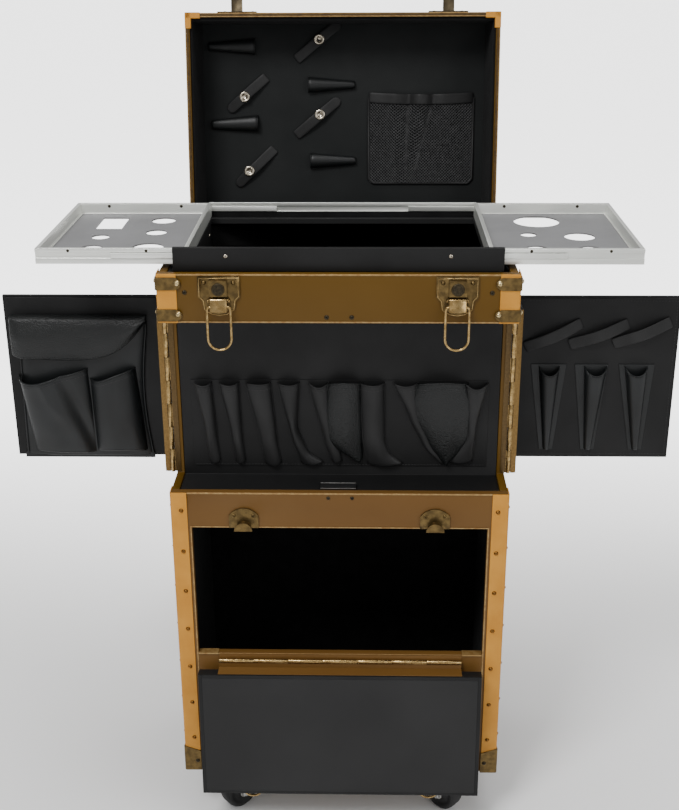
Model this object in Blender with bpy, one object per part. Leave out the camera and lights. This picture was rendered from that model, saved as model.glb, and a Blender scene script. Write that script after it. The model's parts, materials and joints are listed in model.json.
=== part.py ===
"""Rolling makeup train case, standing open: lid up, trays out, doors and drop door swung away.

Lengths are in millimetres and are turned into metres when a mesh is made. Inside the script x runs
to the right, y runs back from the front face of the case and z runs up from its underside. Every
moving body is modelled in its shut position under an empty that lies on its joint axis, and the
empty is then turned or moved to the open position.
"""
import math

import bmesh
import bpy
from mathutils import Matrix, Vector

for old in list(bpy.data.objects):
    bpy.data.objects.remove(old, do_unlink=True)

METRE = 0.001
# standing clearance between fixed pieces, and running clearance of moving ones
GAP = 0.3
RUN = 0.35

# case body
CASE_W = 342.0
CASE_D = 218.5
CASE_H = 571.0
LOWER_H = 342.0
BAND_H = 48.0
BAND_PROUD = 1.0
PLY = 8.0
CASTER_H = 63.0
BOARD_Y = 49.0
BOARD_T = 5.0

# lower opening and its drop door
OPEN_SIDE = 19.5
OPEN_Z0 = 151.5
OPEN_TOP = 39.5
DROP_T = 11.0
DROP_CLEAR = 1.1
DROP_AXIS_OUT = 4.0
DROP_AXIS_DOWN = 7.0
DROP_OPEN_DEG = 177.0

# corner doors
DOOR_T = 4.1
DOOR_DEEP = 45.7
DOOR_AXIS_OUT = 3.5
DOOR_AXIS_Y = 47.0
DOOR_OPEN_DEG = 180.0

# piano hinges
LEAF_T = 0.8
LEAF_W = 8.0
KNUCKLE_R = 2.2
PIN_R = 1.0
KNUCKLES = 7

# bin collar, trays and their slides
COLLAR_WALL = 8.0
COLLAR_DEEP = 26.0
COLLAR_RISE = 4.5
STRIP_Y = 9.0
STRIP_T = 5.0
STRIP_RISE = 23.0
RAIL_T = 2.5
RAIL_SIDE = 25.0
RAIL_BACK = 4.3
TRAY_LIFT = 0.5
TRAY_H = 15.0
TRAY_RAIL = 4.8
TRAY_END = 4.0
TRAY_LEDGE = 3.0
TRAY_SEAT = 2.2
TRAY_PLATE = 1.5
SLIDE_T = 2.2
SLIDE_H = 5.2
GROOVE = 1.2

# lid
LID_SIDE = 3.0
LID_FRONT = 5.5
LID_H = 64.0
LID_WALL = 4.0
LID_AXIS_OUT = 2.3
LID_AXIS_UP = 2.4
LID_OPEN_DEG = 98.7
HANDLE_OFF = 0.75
HANDLE_HALF = 56.0
HANDLE_REACH = 34.0
GRIP_R = 6.5

# draw latches
LATCH_SIDE = 58.0
LATCH_DOWN = 30.0
LATCH_PLATE_W = 40.0
LATCH_PLATE_T = 1.6
WIRE_R = 1.25
LOOP_W = 22.5
LOOP_REACH = 43.0
LEVER_W = 16.0
LEVER_AXIS_OUT = 5.0
LEVER_AXIS_UP = 5.0
LOOP_AXIS_OUT = 7.6
ROLL_R = 2.7
CYLINDER_R = 4.6
CYLINDER_UP = 17.0
DROP_LATCH_SIDE = 73.5
DROP_LATCH_DOWN = 27.5
HOOK_PROUD = 10.8

# casters
CASTER_SIDE = 65.0
CASTER_INSET = 30.0
CASTER_PLATE = 42.0
WHEEL_R = 21.0
WHEEL_W = 18.0
WHEEL_SIDES = 32
WHEEL_BORE = 3.0
AXLE_R = 2.5
FORK_T = 2.0
TRAIL = 14.0

# soft goods
POCKET_T = 9.0
POCKET_H = 92.0
BAG_T = 24.0
CONE_T = 13.0

# the origin lies on the floor under the middle of the open case
ORIGIN_Y = 145.34

HALF_W = CASE_W / 2
INNER = HALF_W - PLY - GAP
BAND_Z = CASE_H - BAND_H
FLOOR_Z = LOWER_H - 2
OPEN_HALF = HALF_W - OPEN_SIDE
OPEN_Z1 = LOWER_H - OPEN_TOP
DOOR_AXIS = (HALF_W + DOOR_AXIS_OUT, DOOR_AXIS_Y)
DROP_AXIS = (-DROP_AXIS_OUT, OPEN_Z0 - DROP_AXIS_DOWN)
LID_AXIS = (CASE_D + LID_AXIS_OUT, CASE_H + LID_AXIS_UP)
LID_Z = LID_AXIS[1] + 1.25
COLLAR_TOP = CASE_H + COLLAR_RISE
TRAY_Z0 = COLLAR_TOP + TRAY_LIFT
TRAY_Z1 = TRAY_Z0 + TRAY_H
RAIL_Y = STRIP_Y + STRIP_T + GAP
RAIL_HALF = HALF_W - RAIL_SIDE
SLIDE_Y = RAIL_Y + RAIL_T - GROOVE + GAP
TRAY_Y = RAIL_Y + RAIL_T + 0.4
MIRROR_Y = RAIL_Y + CASE_D - RAIL_BACK
TRAY_IN = RAIL_HALF - 2.5
TRAY_OUT = TRAY_IN + RAIL_HALF + 0.5
SLIDE_L = RAIL_HALF - 1
SLIDE_OUT = SLIDE_L + 0.5 + (TRAY_IN - 0.5) / 2
LATCH_X = HALF_W - LATCH_SIDE
LATCH_Z = CASE_H - LATCH_DOWN
DROP_LATCH_X = HALF_W - DROP_LATCH_SIDE
DROP_LATCH_Z = OPEN_Z1 - DROP_LATCH_DOWN
CASTER_X = HALF_W - CASTER_SIDE
WHEEL_Z = WHEEL_R * math.cos(math.pi / WHEEL_SIDES) - CASTER_H
PLATE_Y = -GAP - LATCH_PLATE_T


def colour(name, rgb, rough, metal=0.0):
    mat = bpy.data.materials.new(name)
    mat.use_nodes = True
    shader = mat.node_tree.nodes["Principled BSDF"]
    shader.inputs["Base Color"].default_value = (*rgb, 1.0)
    shader.inputs["Roughness"].default_value = rough
    shader.inputs["Metallic"].default_value = metal
    return mat


BROWN = colour("brown_panel", (0.16, 0.09, 0.035), 0.45)
BLACK = colour("black_board", (0.02, 0.02, 0.021), 0.6)
BRONZE = colour("antique_bronze", (0.22, 0.15, 0.06), 0.38, 0.9)
BRASS = colour("brass", (0.45, 0.33, 0.14), 0.3, 1.0)
ALUMINIUM = colour("aluminium", (0.72, 0.73, 0.71), 0.35, 0.9)
GREY = colour("grey_plate", (0.3, 0.3, 0.3), 0.6)
STEEL = colour("zinc_steel", (0.5, 0.5, 0.5), 0.35, 1.0)
RUBBER = colour("grey_rubber", (0.08, 0.08, 0.08), 0.7)
SOFT = colour("black_leatherette", (0.015, 0.015, 0.015), 0.55)
GRIP = colour("tan_leather", (0.55, 0.33, 0.12), 0.55)


# --- solids, in millimetres ---

def block(x0, x1, y0, y1, z0, z1):
    bm = bmesh.new()
    bmesh.ops.create_cube(bm, size=1.0)
    size = Vector((x1 - x0, y1 - y0, z1 - z0))
    middle = Vector((x0 + x1, y0 + y1, z0 + z1)) / 2
    bmesh.ops.scale(bm, vec=size, verts=bm.verts)
    bmesh.ops.translate(bm, vec=middle, verts=bm.verts)
    return bm


def prism(outline, axis, low, high):
    """A flat outline pushed along x, y or z; the outline gives the other two, in x, y, z order."""
    place = {
        "x": lambda a, b, c: (c, a, b),
        "y": lambda a, b, c: (a, c, b),
        "z": lambda a, b, c: (a, b, c),
    }[axis]
    bm = bmesh.new()
    face = bm.faces.new([bm.verts.new(place(a, b, low)) for a, b in outline])
    pushed = bmesh.ops.extrude_face_region(bm, geom=[face])["geom"]
    step = Vector(place(0, 0, high)) - Vector(place(0, 0, low))
    moved = [g for g in pushed if isinstance(g, bmesh.types.BMVert)]
    bmesh.ops.translate(bm, vec=step, verts=moved)
    bmesh.ops.recalc_face_normals(bm, faces=bm.faces)
    return bm


def rod(centre, axis, radius, low, high, sides=16):
    """A round bar along x, y or z; centre gives the other two, in x, y, z order."""
    outline = [
        (centre[0] + radius * math.cos(t), centre[1] + radius * math.sin(t))
        for t in (2 * math.pi * (i + 0.5) / sides for i in range(sides))
    ]
    return prism(outline, axis, low, high)


def arc(cx, cy, radius, start, end, steps):
    return [
        (cx + radius * math.cos(t), cy + radius * math.sin(t))
        for t in (math.radians(start + (end - start) * i / steps) for i in range(steps + 1))
    ]


def wire(route, radius, sides=8):
    """A round wire swept along a route that lies in a plane of constant y."""
    bm = bmesh.new()
    rings = []
    for i, here in enumerate(route):
        ahead = route[min(i + 1, len(route) - 1)]
        behind = route[max(i - 1, 0)]
        along = (ahead - behind).normalized()
        side = along.cross(Vector((0, 1, 0))).normalized()
        turn = along.angle(ahead - here) if i + 1 < len(route) else 0.0
        wide = radius / max(math.cos(turn), 0.7)
        ring = []
        for k in range(sides):
            t = 2 * math.pi * (k + 0.5) / sides
            spot = here + side * wide * math.cos(t) + Vector((0, radius * math.sin(t), 0))
            ring.append(bm.verts.new(spot))
        rings.append(ring)
    for first, second in zip(rings, rings[1:]):
        for k in range(sides):
            n = (k + 1) % sides
            bm.faces.new((first[k], first[n], second[n], second[k]))
    bm.faces.new(rings[0])
    bm.faces.new(rings[-1])
    bmesh.ops.recalc_face_normals(bm, faces=bm.faces)
    return bm


# --- objects ---

class Body:
    """An empty on a joint's axis; what it carries is given in shut, case-wide coordinates."""

    def __init__(self, name, at=(0, 0, 0), turn=None, shift=(0, 0, 0), parent=None):
        self.at = Vector(at)
        self.empty = bpy.data.objects.new(name + "_axis", None)
        bpy.context.collection.objects.link(self.empty)
        if parent:
            self.empty.parent = parent.empty
            base = self.at - parent.at
        else:
            base = self.at - Vector((0, ORIGIN_Y, -CASTER_H))
        matrix = Matrix.Translation((base + Vector(shift)) * METRE)
        if turn:
            matrix = matrix @ Matrix.Rotation(math.radians(turn[1]), 4, turn[0])
        self.empty.matrix_local = matrix

    def mesh(self, name, bm):
        bmesh.ops.translate(bm, vec=-self.at, verts=bm.verts)
        bmesh.ops.scale(bm, vec=(METRE, METRE, METRE), verts=bm.verts)
        mesh = bpy.data.meshes.new(name)
        bm.to_mesh(mesh)
        bm.free()
        obj = bpy.data.objects.new(name, mesh)
        bpy.context.collection.objects.link(obj)
        obj.parent = self.empty
        return obj

    def solid(self, name, mat, first, adds=(), cuts=()):
        obj = self.mesh(name, first)
        obj.data.materials.append(mat)
        jobs = [("UNION", bm) for bm in adds] + [("DIFFERENCE", bm) for bm in cuts]
        for i, (kind, bm) in enumerate(jobs):
            tool = self.mesh(f"{name}_tool{i}", bm)
            tool.hide_render = True
            tool.display_type = "WIRE"
            step = obj.modifiers.new(f"{kind.lower()}{i}", "BOOLEAN")
            step.operation = kind
            step.solver = "EXACT"
            step.object = tool
        return obj


def hinge_leaf(body, name, axis, centre, ways, tab, span, first, leaf, pin):
    """A leaf with every other knuckle of a seven-part hinge.

    ways gives the direction the tabs run in and the direction across them; tab gives how far they
    run and their two faces. The pin belongs to the leaf that has the end knuckles.
    """
    (ux, uy), (vx, vy) = ways
    length, v0, v1 = tab
    low, high = span
    pitch = (high - low) / KNUCKLES
    turn0 = math.degrees(math.asin(v0 / KNUCKLE_R))
    turn1 = math.degrees(math.asin(v1 / KNUCKLE_R))
    flat = [(length, v1), *arc(0, 0, KNUCKLE_R, turn1, turn0 + 360, 11), (length, v0)]
    outline = [(centre[0] + u * ux + v * vx, centre[1] + u * uy + v * vy) for u, v in flat]
    adds = []
    for i in range(first, KNUCKLES, 2):
        start = low + i * pitch + RUN / 2
        adds.append(prism(outline, axis, start, start + pitch - RUN))
    if pin:
        adds.append(rod(centre, axis, PIN_R, low, high, 8))
        return body.solid(name, BRASS, leaf, adds)
    bore = rod(centre, axis, PIN_R + RUN, low - 1, high + 1, 8)
    return body.solid(name, BRASS, leaf, adds, [bore])


def mirrored(low, high, back):
    """A span of y near the front, or the matching span near the back."""
    return (MIRROR_Y - high, MIRROR_Y - low) if back else (low, high)


def slide_span(clear):
    """The heights of a tray slide, with clearance above and below."""
    middle = (TRAY_Z0 + TRAY_Z1) / 2 + 1
    return middle - SLIDE_H / 2 - clear, middle + SLIDE_H / 2 + clear


# --- case ---

case = Body("case")


def build_shell():
    front = PLY + GAP
    wall = HALF_W - PLY
    hull = block(-HALF_W, HALF_W, front, CASE_D, 0, CASE_H)
    room = block(-wall, wall, front - 5, CASE_D - PLY, PLY, CASE_H + 5)
    jamb = DOOR_AXIS_Y + 0.2 + LEAF_T + GAP
    notch = block(-HALF_W - 5, HALF_W + 5, front - 5, jamb, LOWER_H, BAND_Z)
    case.solid("case_shell", BROWN, hull, cuts=[room, notch])
    opening = block(-OPEN_HALF, OPEN_HALF, -5, PLY + 5, OPEN_Z0, OPEN_Z1)
    case.solid("front_frame", BROWN, block(-HALF_W, HALF_W, 0, PLY, 0, LOWER_H), cuts=[opening])
    band = HALF_W + BAND_PROUD
    case.solid("band_front", BROWN, block(-band, band, 0, PLY, BAND_Z, CASE_H))
    back = CASE_D - PLY - GAP
    board = BOARD_Y + BOARD_T
    roof = BAND_Z + GAP
    profile = [
        (front, FLOOR_Z - PLY), (back, FLOOR_Z - PLY), (back, FLOOR_Z), (board, FLOOR_Z),
        (board, roof + BOARD_T), (front, roof + BOARD_T), (front, roof),
        (BOARD_Y, roof), (BOARD_Y, FLOOR_Z), (front, FLOOR_Z),
    ]
    case.solid("door_bay_liner", BLACK, prism(profile, "x", -INNER, INNER))
    half = INNER - 13
    y1 = BOARD_Y - GAP
    low = FLOOR_Z + 13
    pocket = block(-half, half, y1 - POCKET_T, y1, low, low + POCKET_H)
    case.solid("tool_pockets", SOFT, pocket)


def build_collar():
    inner = RAIL_HALF - 3
    outer = inner + COLLAR_WALL
    back = CASE_D - PLY - GAP
    y0 = STRIP_Y + 0.6
    ring = block(-INNER, INNER, y0, back, CASE_H - COLLAR_DEEP, CASE_H - 1)
    rise = block(-outer, outer, y0 + 0.2, back - 0.2, CASE_H - 3, COLLAR_TOP)
    wide = outer + 6
    strip = block(-wide, wide, STRIP_Y, STRIP_Y + STRIP_T, CASE_H + GAP, CASE_H + STRIP_RISE)
    room = block(
        -inner, inner, y0 + STRIP_T, back - COLLAR_WALL, CASE_H - COLLAR_DEEP - 5, COLLAR_TOP + 5
    )
    case.solid("bin_collar", BLACK, ring, [rise, strip], [room])
    for name, is_back in (("tray_rail_front", False), ("tray_rail_back", True)):
        y0, y1 = mirrored(RAIL_Y, RAIL_Y + RAIL_T, is_back)
        g0, g1 = mirrored(RAIL_Y + RAIL_T - GROOVE, RAIL_Y + RAIL_T + 1, is_back)
        groove = block(-RAIL_HALF - 5, RAIL_HALF + 5, g0, g1, *slide_span(RUN))
        foot = CASE_H + GAP if is_back else TRAY_Z0
        rail = block(-RAIL_HALF, RAIL_HALF, y0, y1, foot, TRAY_Z1)
        case.solid(name, ALUMINIUM, rail, cuts=[groove])


# --- draw latches and what they catch ---

def build_catch_hooks():
    for side, x in (("left", -DROP_LATCH_X), ("right", DROP_LATCH_X)):
        foot = OPEN_Z1 + 0.5
        crown = arc(x, foot + 4, 18.0, 33, 147, 10)
        outline = [(x + 15.2, foot), *crown, (x - 15.2, foot)]
        plate = prism(outline, "y", PLATE_Y, -GAP)
        neck = prism(arc(x, foot + 0.3, 7.5, 0, 180, 10), "y", 1.4 - HOOK_PROUD, -GAP - 0.5)
        lip = prism(arc(x, foot + 0.4, 9.3, 0, 180, 12), "y", -HOOK_PROUD, 1.6 - HOOK_PROUD)
        case.solid(f"catch_hook_{side}", BRONZE, plate, [neck, lip])


def latch_outline(x, z, half, up):
    """A shield: square shoulders, a waist that narrows and a rounded foot."""
    foot = arc(x, z - 4, 7.0, 200, 340, 8)
    left = [(x - half, z + up), (x - half, z + 8), (x - half + 4, z + 4), (x - half + 5, z - 4)]
    right = [(2 * x - a, b) for a, b in reversed(left)]
    return [*left, *foot, *right]


def latch_base(x, z, half, up):
    """The fixed half of a draw latch on a face at y = 0: its plate, its two ears and their bore."""
    plate = prism(latch_outline(x, z, half, up), "y", PLATE_Y, -GAP)
    pivot = z + LEVER_AXIS_UP
    shape = [(-0.6, pivot - 4), *arc(-LEVER_AXIS_OUT, pivot, 2.6, 270, 90, 8), (-0.6, pivot + 4)]
    inside = LEVER_W / 2 + RUN
    ears = [
        prism(shape, "x", *sorted((x + s * inside, x + s * (inside + 1.1)))) for s in (-1, 1)
    ]
    bore = rod((-LEVER_AXIS_OUT, pivot), "x", PIN_R + RUN, x - 12, x + 12, 10)
    return plate, ears, bore


def lever_and_loop(parent, prefix, side, x, z, way):
    """The lever turns in the base's ears and the wire loop turns in the lever's rolled end."""
    pivot = Vector((x, -LEVER_AXIS_OUT, z + LEVER_AXIS_UP))
    lever = Body(f"{prefix}_lever_{side}", pivot, parent=parent)
    half = LEVER_W / 2
    y, top = -LOOP_AXIS_OUT, pivot.z
    shape = [
        (-3.4, top + 1.8), (-3.4, top - 2.0), *arc(y, z, ROLL_R, 30, -120, 8),
        (y - 3.9, z - 4.4), (y - 4.7, z - 3.8), (y - 2.4, z),
        (y - 2.0, top + 1.0), (y - 0.6, top + 2.8), (-5.5, top + 2.7),
    ]
    pin = rod((pivot.y, pivot.z), "x", PIN_R, x - half - 1.3, x + half + 1.3, 8)
    bore = rod((y, z), "x", WIRE_R + RUN, x - half - 1, x + half + 1, 12)
    tongue = prism(shape, "x", x - half, x + half)
    lever.solid(f"{prefix}_lever_{side}", BRASS, tongue, [pin], [bore])
    loop = Body(f"{prefix}_loop_{side}", (x, y, z), parent=lever)
    wide = LOOP_W / 2
    bend = 3.0
    start = [(half - 4, 0), (wide - bend, 0), *arc(wide - bend, bend, bend, -60, 0, 2)]
    route = [*start, *arc(0, LOOP_REACH - wide, wide, 0, 180, 14)]
    route += [(-a, b) for a, b in reversed(start)]
    points = [Vector((x + a, y, z + way * b)) for a, b in route]
    loop.solid(f"{prefix}_loop_{side}", BRASS, wire(points, WIRE_R))


def build_lid_latches():
    for side, x in (("left", -LATCH_X), ("right", LATCH_X)):
        plate, ears, bore = latch_base(x, LATCH_Z, LATCH_PLATE_W / 2, LATCH_DOWN - 2)
        lock_z = LATCH_Z + CYLINDER_UP
        box = block(x - 8.4, x + 8.4, -7.4, PLATE_Y + 0.5, lock_z - 7, lock_z + 8)
        barrel = rod((x, lock_z), "y", CYLINDER_R + RUN, -12, PLATE_Y - 0.4, 20)
        case.solid(f"lid_latch_plate_{side}", BRONZE, plate, [*ears, box], [bore, barrel])
        lever_and_loop(case, "lid_latch", side, x, LATCH_Z, -1)
        lock = Body(f"lock_cylinder_{side}", (x, -8.0, lock_z), parent=case)
        slot = block(x - 0.6, x + 0.6, -9.2, -6.5, lock_z - 3, lock_z + 3)
        plug = rod((x, lock_z), "y", CYLINDER_R, -8.4, PLATE_Y - 0.4 - GAP, 20)
        lock.solid(f"lock_cylinder_{side}", BRASS, plug, cuts=[slot])


# --- corner doors ---

def build_doors():
    low = LOWER_H + 1.0
    high = BAND_Z - 0.6
    ax, ay = DOOR_AXIS
    outer = ax - 2.9
    span = (low + 1, high - 1)
    for side, s in (("left", -1), ("right", 1)):
        door = Body(f"door_{side}", (s * ax, ay, low), ("Z", s * DOOR_OPEN_DEG))
        profile = [
            (0.6, 0), (outer, 0), (outer, DOOR_DEEP), (outer - DOOR_T, DOOR_DEEP),
            (outer - DOOR_T, DOOR_T), (0.6, DOOR_T),
        ]
        outline = [(s * a, b) for a, b in profile]
        door.solid(f"door_{side}", BROWN, prism(outline, "z", low, high))
        ways = ((-s, 0), (0, 1))
        a0, a1 = sorted((s * (ax - LEAF_W), s * (ax - KNUCKLE_R - RUN)))
        leaf = block(a0, a1, ay - 0.2 - LEAF_T, ay - 0.2, *span)
        tab = (KNUCKLE_R + 1.2, -0.15 - LEAF_T, -0.25)
        hinge_leaf(door, f"door_hinge_leaf_{side}", "z", (s * ax, ay), ways, tab, span, 1, leaf, False)
        leaf = block(a0, a1, ay + 0.2, ay + 0.2 + LEAF_T, *span)
        tab = (KNUCKLE_R + 1.2, 0.25, 0.15 + LEAF_T)
        hinge_leaf(case, f"case_hinge_leaf_{side}", "z", (s * ax, ay), ways, tab, span, 0, leaf, True)
        face = DOOR_T + 1.6
        if side == "left":
            bag = block(8 - outer + 14, -8.0, face, face + BAG_T, low + 1, high - 19.5)
            door.solid("door_bag", SOFT, bag)
        else:
            cones = block(21, outer - 21, face, face + CONE_T, low + 8, low + 105)
            door.solid("brush_pockets", SOFT, cones)


# --- drop door ---

def build_drop_door():
    ay, az = DROP_AXIS
    drop = Body("drop_door", (0, ay, az), ("X", DROP_OPEN_DEG))
    half = OPEN_HALF - DROP_CLEAR
    low = OPEN_Z0 + 1.5
    panel = block(-half, half, 0, DROP_T, low, OPEN_Z1 - DROP_CLEAR)
    adds = []
    cuts = []
    for x in (-DROP_LATCH_X, DROP_LATCH_X):
        plate, ears, bore = latch_base(x, DROP_LATCH_Z, 15.0, 14.0)
        bmesh.ops.translate(plate, vec=(0, GAP + 0.2, 0), verts=plate.verts)
        adds += [plate, *ears]
        cuts.append(bore)
    drop.solid("drop_door", BROWN, panel, adds, cuts)
    span = (-half + 21, half - 21)
    flange = LEAF_T / 2
    edge = low - GAP
    outline = [
        (ay - flange, az + KNUCKLE_R + RUN), (ay + flange, az + KNUCKLE_R + RUN),
        (ay + flange, edge - LEAF_T), (DROP_T - 0.5, edge - LEAF_T), (DROP_T - 0.5, edge),
        (ay - flange, edge),
    ]
    leaf = prism(outline, "x", *span)
    tab = (KNUCKLE_R + 1.2, 0.05 - flange, flange - 0.05)
    hinge_leaf(drop, "drop_hinge_leaf", "x", (ay, az), ((0, 1), (1, 0)), tab, span, 1, leaf, False)
    leaf = block(*span, -GAP - LEAF_T, -GAP, az - 6.5, OPEN_Z0 - 1)
    tab = (-ay - GAP - flange, -flange, flange)
    hinge_leaf(case, "sill_hinge_leaf", "x", (ay, az), ((1, 0), (0, 1)), tab, span, 0, leaf, True)
    for side, x in (("left", -DROP_LATCH_X), ("right", DROP_LATCH_X)):
        lever_and_loop(drop, "drop_latch", side, x, DROP_LATCH_Z, 1)


# --- trays ---

# how far each hole lies out from the middle of its plate, how far back, and its radius or half sizes
TRAY_HOLES = {
    "left": [
        (26.7, 48.8, (14.0, 24.5)), (-26.2, 60.8, 12.8), (-26.2, 9.8, 10.9),
        (28.0, -9.2, 9.3), (28.0, -53.2, 11.4), (-27.2, -49.2, 15.4),
    ],
    "right": [
        (-9.8, 57.8, 24.2), (-24.8, 1.8, 8.4), (26.0, -6.2, 15.7),
        (-23.3, -53.7, 11.1), (28.5, -54.7, 10.9),
    ],
}


def tray_hole(x, y, size, low, high):
    if isinstance(size, tuple):
        return block(x - size[0], x + size[0], y - size[1], y + size[1], low, high)
    return rod((x, y), "z", size, low, high, 24)


def build_trays():
    y0 = TRAY_Y
    y1 = MIRROR_Y - TRAY_Y
    middle = ((TRAY_IN + TRAY_OUT) / 2, (y0 + y1) / 2)
    seat = TRAY_Z0 + TRAY_SEAT
    for side, s in (("left", -1), ("right", 1)):
        tray = Body(f"tray_{side}", (s * TRAY_OUT, y0, TRAY_Z0))
        x0, x1 = sorted((s * TRAY_IN, s * TRAY_OUT))
        a0, a1 = x0 + TRAY_END, x1 - TRAY_END
        b0, b1 = y0 + TRAY_RAIL, y1 - TRAY_RAIL
        ledge = TRAY_LEDGE
        cuts = [
            block(a0, a1, b0, b1, seat, TRAY_Z1 + 5),
            block(a0 + ledge, a1 - ledge, b0 + ledge, b1 - ledge, TRAY_Z0 - 5, seat + 2),
        ]
        for is_back in (False, True):
            g0, g1 = mirrored(y0 - 1, SLIDE_Y + SLIDE_T + GAP, is_back)
            cuts.append(block(x0 - 5, x1 + 5, g0, g1, *slide_span(RUN)))
        tray.solid(f"tray_frame_{side}", ALUMINIUM, block(x0, x1, y0, y1, TRAY_Z0, TRAY_Z1), cuts=cuts)
        low = seat + GAP
        high = low + TRAY_PLATE
        plate = block(a0 + GAP, a1 - GAP, b0 + GAP, b1 - GAP, low, high)
        cuts = [
            tray_hole(s * (middle[0] + out), middle[1] + back, size, low - 3, high + 3)
            for out, back, size in TRAY_HOLES[side]
        ]
        tray.solid(f"tray_plate_{side}", GREY, plate, cuts=cuts)
        slide = Body(f"slide_{side}", (s * SLIDE_OUT, y0, TRAY_Z0))
        x0, x1 = sorted((s * (SLIDE_OUT - SLIDE_L), s * SLIDE_OUT))
        for where, is_back in (("front", False), ("back", True)):
            s0, s1 = mirrored(SLIDE_Y, SLIDE_Y + SLIDE_T, is_back)
            slide.solid(f"slide_{where}_{side}", ALUMINIUM, block(x0, x1, s0, s1, *slide_span(0)))


# --- lid ---

def build_lid():
    ay, az = LID_AXIS
    lid = Body("lid", (0, ay, az), ("X", -LID_OPEN_DEG))
    half = HALF_W - LID_SIDE
    top = LID_Z + LID_H
    wall = LID_WALL
    shell = block(-half, half, LID_FRONT, CASE_D, LID_Z, top)
    room = block(wall - half, half - wall, LID_FRONT + wall, CASE_D - wall, LID_Z - 5, top - wall)
    lid.solid("lid_shell", BROWN, shell, cuts=[room])
    span = (-half + 20, half - 20)
    ways = ((-1, 0), (0, 1))
    y0, y1 = CASE_D - wall + GAP, ay - KNUCKLE_R - RUN
    leaf = block(*span, y0, y1, az + 0.15, az + 0.15 + LEAF_T)
    tab = (KNUCKLE_R + 1.2, 0.2, 0.1 + LEAF_T)
    hinge_leaf(lid, "lid_hinge_leaf", "x", (ay, az), ways, tab, span, 1, leaf, False)
    leaf = block(*span, y0, y1, CASE_H + GAP, az - 0.15)
    tab = (KNUCKLE_R + 1.2, -1.9, -0.2)
    hinge_leaf(case, "back_hinge_leaf", "x", (ay, az), ways, tab, span, 0, leaf, True)
    face = LID_FRONT - GAP
    low = LID_Z + 1
    for side, x in (("left", -LATCH_X), ("right", LATCH_X)):
        plate = block(x - 21, x + 21, face - LATCH_PLATE_T, face, low, low + 16)
        neck = block(x - 6, x + 6, 1.4 - HOOK_PROUD, face - 0.5, low + 0.2, low + 5)
        lip = block(x - 6.8, x + 6.8, -HOOK_PROUD, 1.6 - HOOK_PROUD, low + 0.4, low + 6.5)
        lid.solid(f"lid_hook_{side}", BRONZE, plate, [neck, lip])
    build_carry_handle(lid, top)


def build_carry_handle(lid, top):
    middle = CASE_D / 2 + HANDLE_OFF
    reach = HANDLE_HALF
    axis_z = top + GRIP_R + 1.5
    base = block(-reach - 12, reach + 12, middle - 9, middle + 9, top + GAP, top + GAP + 1.6)
    shape = [(middle - 6, top + 1), (middle + 6, top + 1), *arc(middle, axis_z, 4.0, 0, 180, 8)]
    ears = [prism(shape, "x", *sorted((s * (reach + 4), s * (reach + 7)))) for s in (-1, 1)]
    bore = rod((middle, axis_z), "x", 2.0 + RUN, -reach - 20, reach + 20, 10)
    lid.solid("handle_mount", BRONZE, base, ears, [bore])
    # with the lid open the handle hangs straight down
    handle = Body("carry_handle", (0, middle, axis_z), ("X", LID_OPEN_DEG - 90), parent=lid)
    bend = 12.0
    points = [(reach + 8.5, 0), (reach - 1, 0), (reach - 3, 3)]
    points += arc(reach - 3 - bend, HANDLE_REACH - bend, bend, 10, 90, 5)
    points += [(-a, b) for a, b in reversed(points)]
    bar = wire([Vector((a, 0, b)) for a, b in points], 2.0)
    lay = Matrix.Translation((0, middle, axis_z)) @ Matrix.Rotation(math.radians(-90), 4, "X")
    bmesh.ops.transform(bar, matrix=lay, verts=bar.verts)
    grip = rod((middle + HANDLE_REACH, axis_z), "x", GRIP_R, -30, 30, 12)
    handle.solid("carry_handle", GRIP, bar, [grip])


# --- casters ---

def build_casters():
    back = CASE_D - CASTER_INSET
    spots = {
        "front_left": (-CASTER_X, CASTER_INSET, 221.0), "front_right": (CASTER_X, CASTER_INSET, 319.0),
        "back_left": (-CASTER_X, back, 140.0), "back_right": (CASTER_X, back, 60.0),
    }
    half = CASTER_PLATE / 2
    cheek = WHEEL_W / 2 + 1
    for name, (x, y, heading) in spots.items():
        plate = block(x - half, x + half, y - half, y + half, -GAP - 2, -GAP)
        race = rod((x, y), "z", 15.0, -5.0, -GAP - 1, 20)
        case.solid(f"caster_plate_{name}", STEEL, plate, [race])
        # modelled with the wheel trailing toward +x, then turned to its heading
        fork = Body(f"caster_{name}", (x, y, 0), ("Z", heading))
        hub = x + TRAIL
        crown = rod((x, y), "z", 14.0, -11.0, -5.0 - RUN, 20)
        bridge = block(x - 12, x + 12, y - cheek - FORK_T, y + cheek + FORK_T, -9.0, -6.5)
        shape = [(x - 11, -8), (x + 11, -8), *arc(hub, WHEEL_Z, 6.0, 20, -160, 8)]
        adds = [bridge]
        for s in (-1, 1):
            adds.append(prism(shape, "y", *sorted((y + s * cheek, y + s * (cheek + FORK_T - 0.2)))))
        adds.append(rod((hub, WHEEL_Z), "y", AXLE_R, y - cheek - 3, y + cheek + 3, 12))
        fork.solid(f"caster_fork_{name}", STEEL, crown, adds)
        wheel = Body(f"wheel_{name}", (hub, y, WHEEL_Z), parent=fork)
        tyre = rod((hub, WHEEL_Z), "y", WHEEL_R, y - WHEEL_W / 2, y + WHEEL_W / 2, WHEEL_SIDES)
        bore = rod((hub, WHEEL_Z), "y", WHEEL_BORE, y - WHEEL_W, y + WHEEL_W, 12)
        wheel.solid(f"caster_wheel_{name}", RUBBER, tyre, cuts=[bore])


build_shell()
build_collar()
build_catch_hooks()
build_lid_latches()
build_doors()
build_drop_door()
build_trays()
build_lid()
build_casters()
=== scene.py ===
import json
import math
import random

import bmesh
import bpy
from mathutils import Matrix, Vector, noise


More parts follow.
